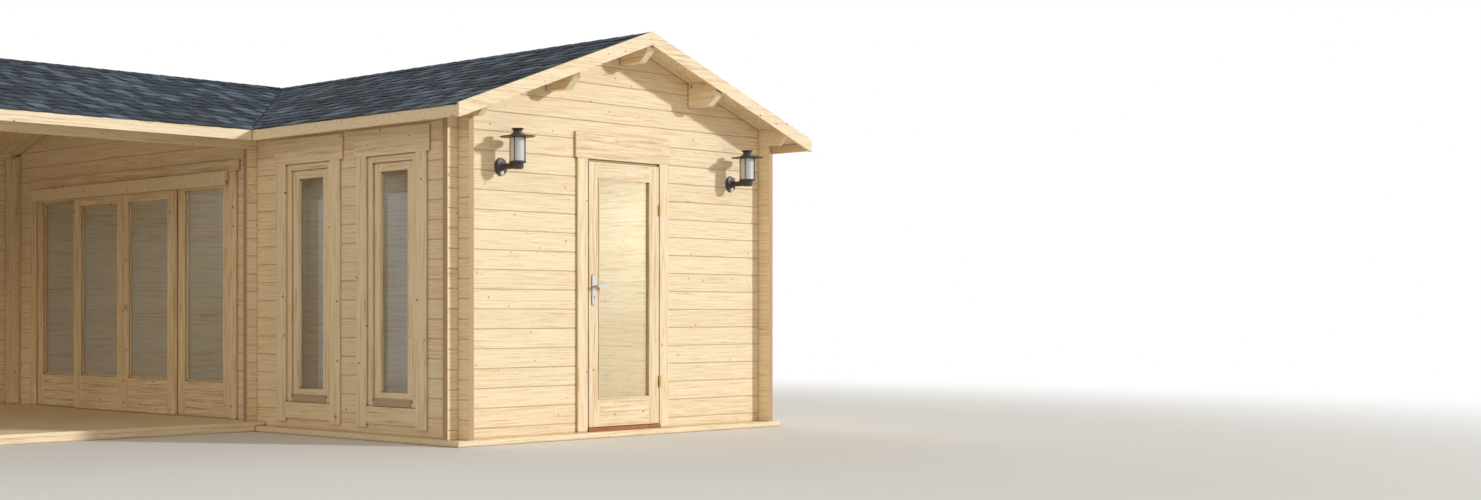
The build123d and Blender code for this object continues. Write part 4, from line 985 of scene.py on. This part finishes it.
# %% Both lanterns
LAMP_AXIS = -0.155      # from the wall to the lantern's upright axis
CUP = [(0, 1.853), (0.031, 1.853), (0.038, 1.857), (0.041, 1.865), (0.041, 1.886), (0.044, 1.892),
       (0.058, 1.894), (0.060, 1.896), (0.060, 1.899), (0.058, 1.900), (0.052, 1.901), (0.052, 1.906),
       (0.0, 1.906)]
HAT = [(0, 2.062), (0.052, 2.062), (0.053, 2.067), (0.075, 2.068), (0.116, 2.0685), (0.1198, 2.070),
       (0.119, 2.072), (0.080, 2.077), (0.056, 2.080), (0.055, 2.084), (0.041, 2.085), (0.040, 2.092),
       (0.031, 2.094), (0.030, 2.110), (0.033, 2.116), (0.041, 2.119), (0.042, 2.122), (0.038, 2.126),
       (0.0, 2.128)]
PLATE = [(0, 0), (0.061, 0), (0.061, 0.005), (0.058, 0.010), (0.047, 0.014), (0.034, 0.017), (0.030, 0.022),
         (0.028, 0.024), (0.0, 0.024)]
ARM = [(0, 0.020), (0.0225, 0.020), (0.0225, 0.030), (0.020, 0.033), (0.020, 0.125), (0, 0.125)]
LENS = [(0, 0), (0.0175, 0), (0.0175, 0.004), (0.0155, 0.009), (0.010, 0.013), (0, 0.0145)]
outwards = Matrix.Rotation(math.radians(90), 4, "X")

lantern_parts, lenses = [], []
for lamp_x in (0.41, 2.99):
    upright = Matrix.Translation((lamp_x, LAMP_AXIS, 0))
    on_wall = Matrix.Translation((lamp_x, 0, 1.876)) @ outwards
    lantern_parts += [turned(CUP, upright, 48), turned(HAT, upright, 48)]
    lantern_parts += [turned(PLATE, on_wall, 48), turned(ARM, on_wall, 32)]
    bar = eased((-0.003, -0.003, 1.899), (0.003, 0.003, 2.069), lambda c: True, 0.0012)
    for n in range(4):
        around = Matrix.Rotation(math.radians(20 + 90 * n), 4, "Z") @ Matrix.Translation((0.0545, 0, 0))
        lantern_parts.append(copied(bar, upright @ around))
    bpy.data.objects.remove(bar)
    lens_place = Matrix.Translation((lamp_x, -0.0105, 1.834)) @ outwards
    lenses.append(turned(LENS, lens_place, 24))
lanterns = finished(lantern_parts, "wall_lanterns", powder_coat, smooth=35)
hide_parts("lamp_bodies")
finished(lenses, "lantern_sensor_lenses", lens_plastic, smooth=50)
print("lantern faces:", len(lanterns.data.polygons))

# %% [markdown]
# ## Lock of the sliding doors
# A round rosette with a cylinder lock sits on the meeting stile of the near leaf. It is turned like the lamps,
# and the keyway is a slot sunk into the cylinder.

# %% Lock rosette
ROSETTE = [(0, 0), (0.026, 0), (0.026, 0.003), (0.024, 0.005), (0.012, 0.006), (0.012, 0.0055), (0.0105, 0.009),
           (0, 0.009)]
to_porch = Matrix.Translation((-0.043, 3.754, 0.93)) @ Matrix.Rotation(math.radians(-90), 4, "Y")
rosette = turned(ROSETTE, to_porch, 36)
cut_out(rosette, (-0.06, 3.7528, 0.924), (-0.0495, 3.7552, 0.936))
finished([rosette], "sliding_door_lock", stainless, body="near_sliding_leaf", smooth=35)
print("lock faces:", len(rosette.data.polygons))

# %% [markdown]
# ## Studio
# A pale floor and plain light show the cabin. The floor fades to white away from it, for camera, mirror and
# glass rays only, so the white around the cabin is a colour and adds no light. The sky's light is weak and
# warm, as it is between pale walls.


# %% Floor and background
def white_for_viewers(tree):
    """1 for the rays that look at the background: camera, mirror and glass rays."""
    path = add(tree, "LightPath").outputs
    seen = add(tree, "Math MAXIMUM", path["Is Camera Ray"], path["Is Glossy Ray"])
    return add(tree, "Math MAXIMUM", seen, path["Is Transmission Ray"])


FLOOR_RADIUS = 60.0
FADE_START, FADE_END = 6.0, 14.0        # distances from the middle of the floor
SKY_LIGHT = 0.40
WHITE = (1, 1, 1, 1)

# A little below the foundation, so that the two faces don't fight
bpy.ops.mesh.primitive_circle_add(
    vertices=64, radius=FLOOR_RADIUS, fill_type="NGON", location=(0, 2.0, -0.002))
floor = bpy.context.object
floor.name = "studio_floor"
floor_material, tree = new_material("pale_studio_floor")
paint = add(tree, "BsdfPrincipled", {"Base Color": colour("e9e7e3"), "Roughness": 0.9})
away = add(tree, "VectorMath LENGTH", add(tree, "TexCoord").outputs["Object"])
fade = add(tree, "MapRange", away, FADE_START, FADE_END, interpolation_type="SMOOTHSTEP")
white = add(tree, "Math MULTIPLY", fade, white_for_viewers(tree))
add(tree, "OutputMaterial", add(tree, "MixShader", white, paint, add(tree, "Emission", WHITE, 1.0)))
floor.data.materials.append(floor_material)

world = bpy.data.worlds.new("studio_air")
bpy.context.scene.world = world
world.use_nodes = True
tree = world.node_tree
tree.nodes.clear()
soft_light = add(tree, "Background", (1, 0.95, 0.87, 1), SKY_LIGHT)
plain_white = add(tree, "Background", WHITE, 1.0)
add(tree, "OutputWorld", add(tree, "MixShader", white_for_viewers(tree), soft_light, plain_white))
print("floor fades from", FADE_START, "to", FADE_END, "m")

# %% [markdown]
# ## Lamps
# The key lamp stands where the low sun stood, judged from the shadow that a lantern throws on the gable: it
# lights the gable and leaves the window wall in shade. A weak warm lamp from the left stands for light that
# comes back from the ground, and a third one shows the back. Two ceiling lights, themselves unseen, keep
# the room behind the panes bright.

# %% Sun, fill and room lights
CEILING = 2.25


def lamp(name, kind, strength, tint):
    """A new lamp in the scene."""
    data = bpy.data.lights.new(name, kind)
    data.energy = strength
    data.color = tint
    light = bpy.data.objects.new(name, data)
    bpy.context.scene.collection.objects.link(light)
    return light


for name, towards, strength, spread, tint in (
    ("key_light", (0.60, -0.77, 0.32), 2.32, 4, (0.94, 0.97, 1.0)),
    ("fill_light", (-0.8, -0.5, 0.25), 0.40, 25, (1.0, 0.92, 0.80)),
    ("back_light", (0.3, 0.8, 0.7), 0.5, 40, (1.0, 1.0, 1.0)),
):
    sun = lamp(name, "SUN", strength, tint)
    sun.data.angle = math.radians(spread)
    sun.rotation_euler = Vector(towards).to_track_quat("Z", "Y").to_euler()
for name, x, y, power in (("front_room_light", 2.1, 1.1, 55), ("back_room_light", 2.6, 4.6, 5)):
    room_lamp = lamp(name, "AREA", power, (0.78, 0.89, 1.0))
    room_lamp.data.size = 1.3
    room_lamp.location = (x, y, CEILING)
    room_lamp.visible_camera = room_lamp.visible_transmission = room_lamp.visible_glossy = False
bpy.context.scene.view_settings.view_transform = "Standard"
print("lights:", len(bpy.data.lights))

# %% [markdown]
# ## End

# %% Finish
print("finished")
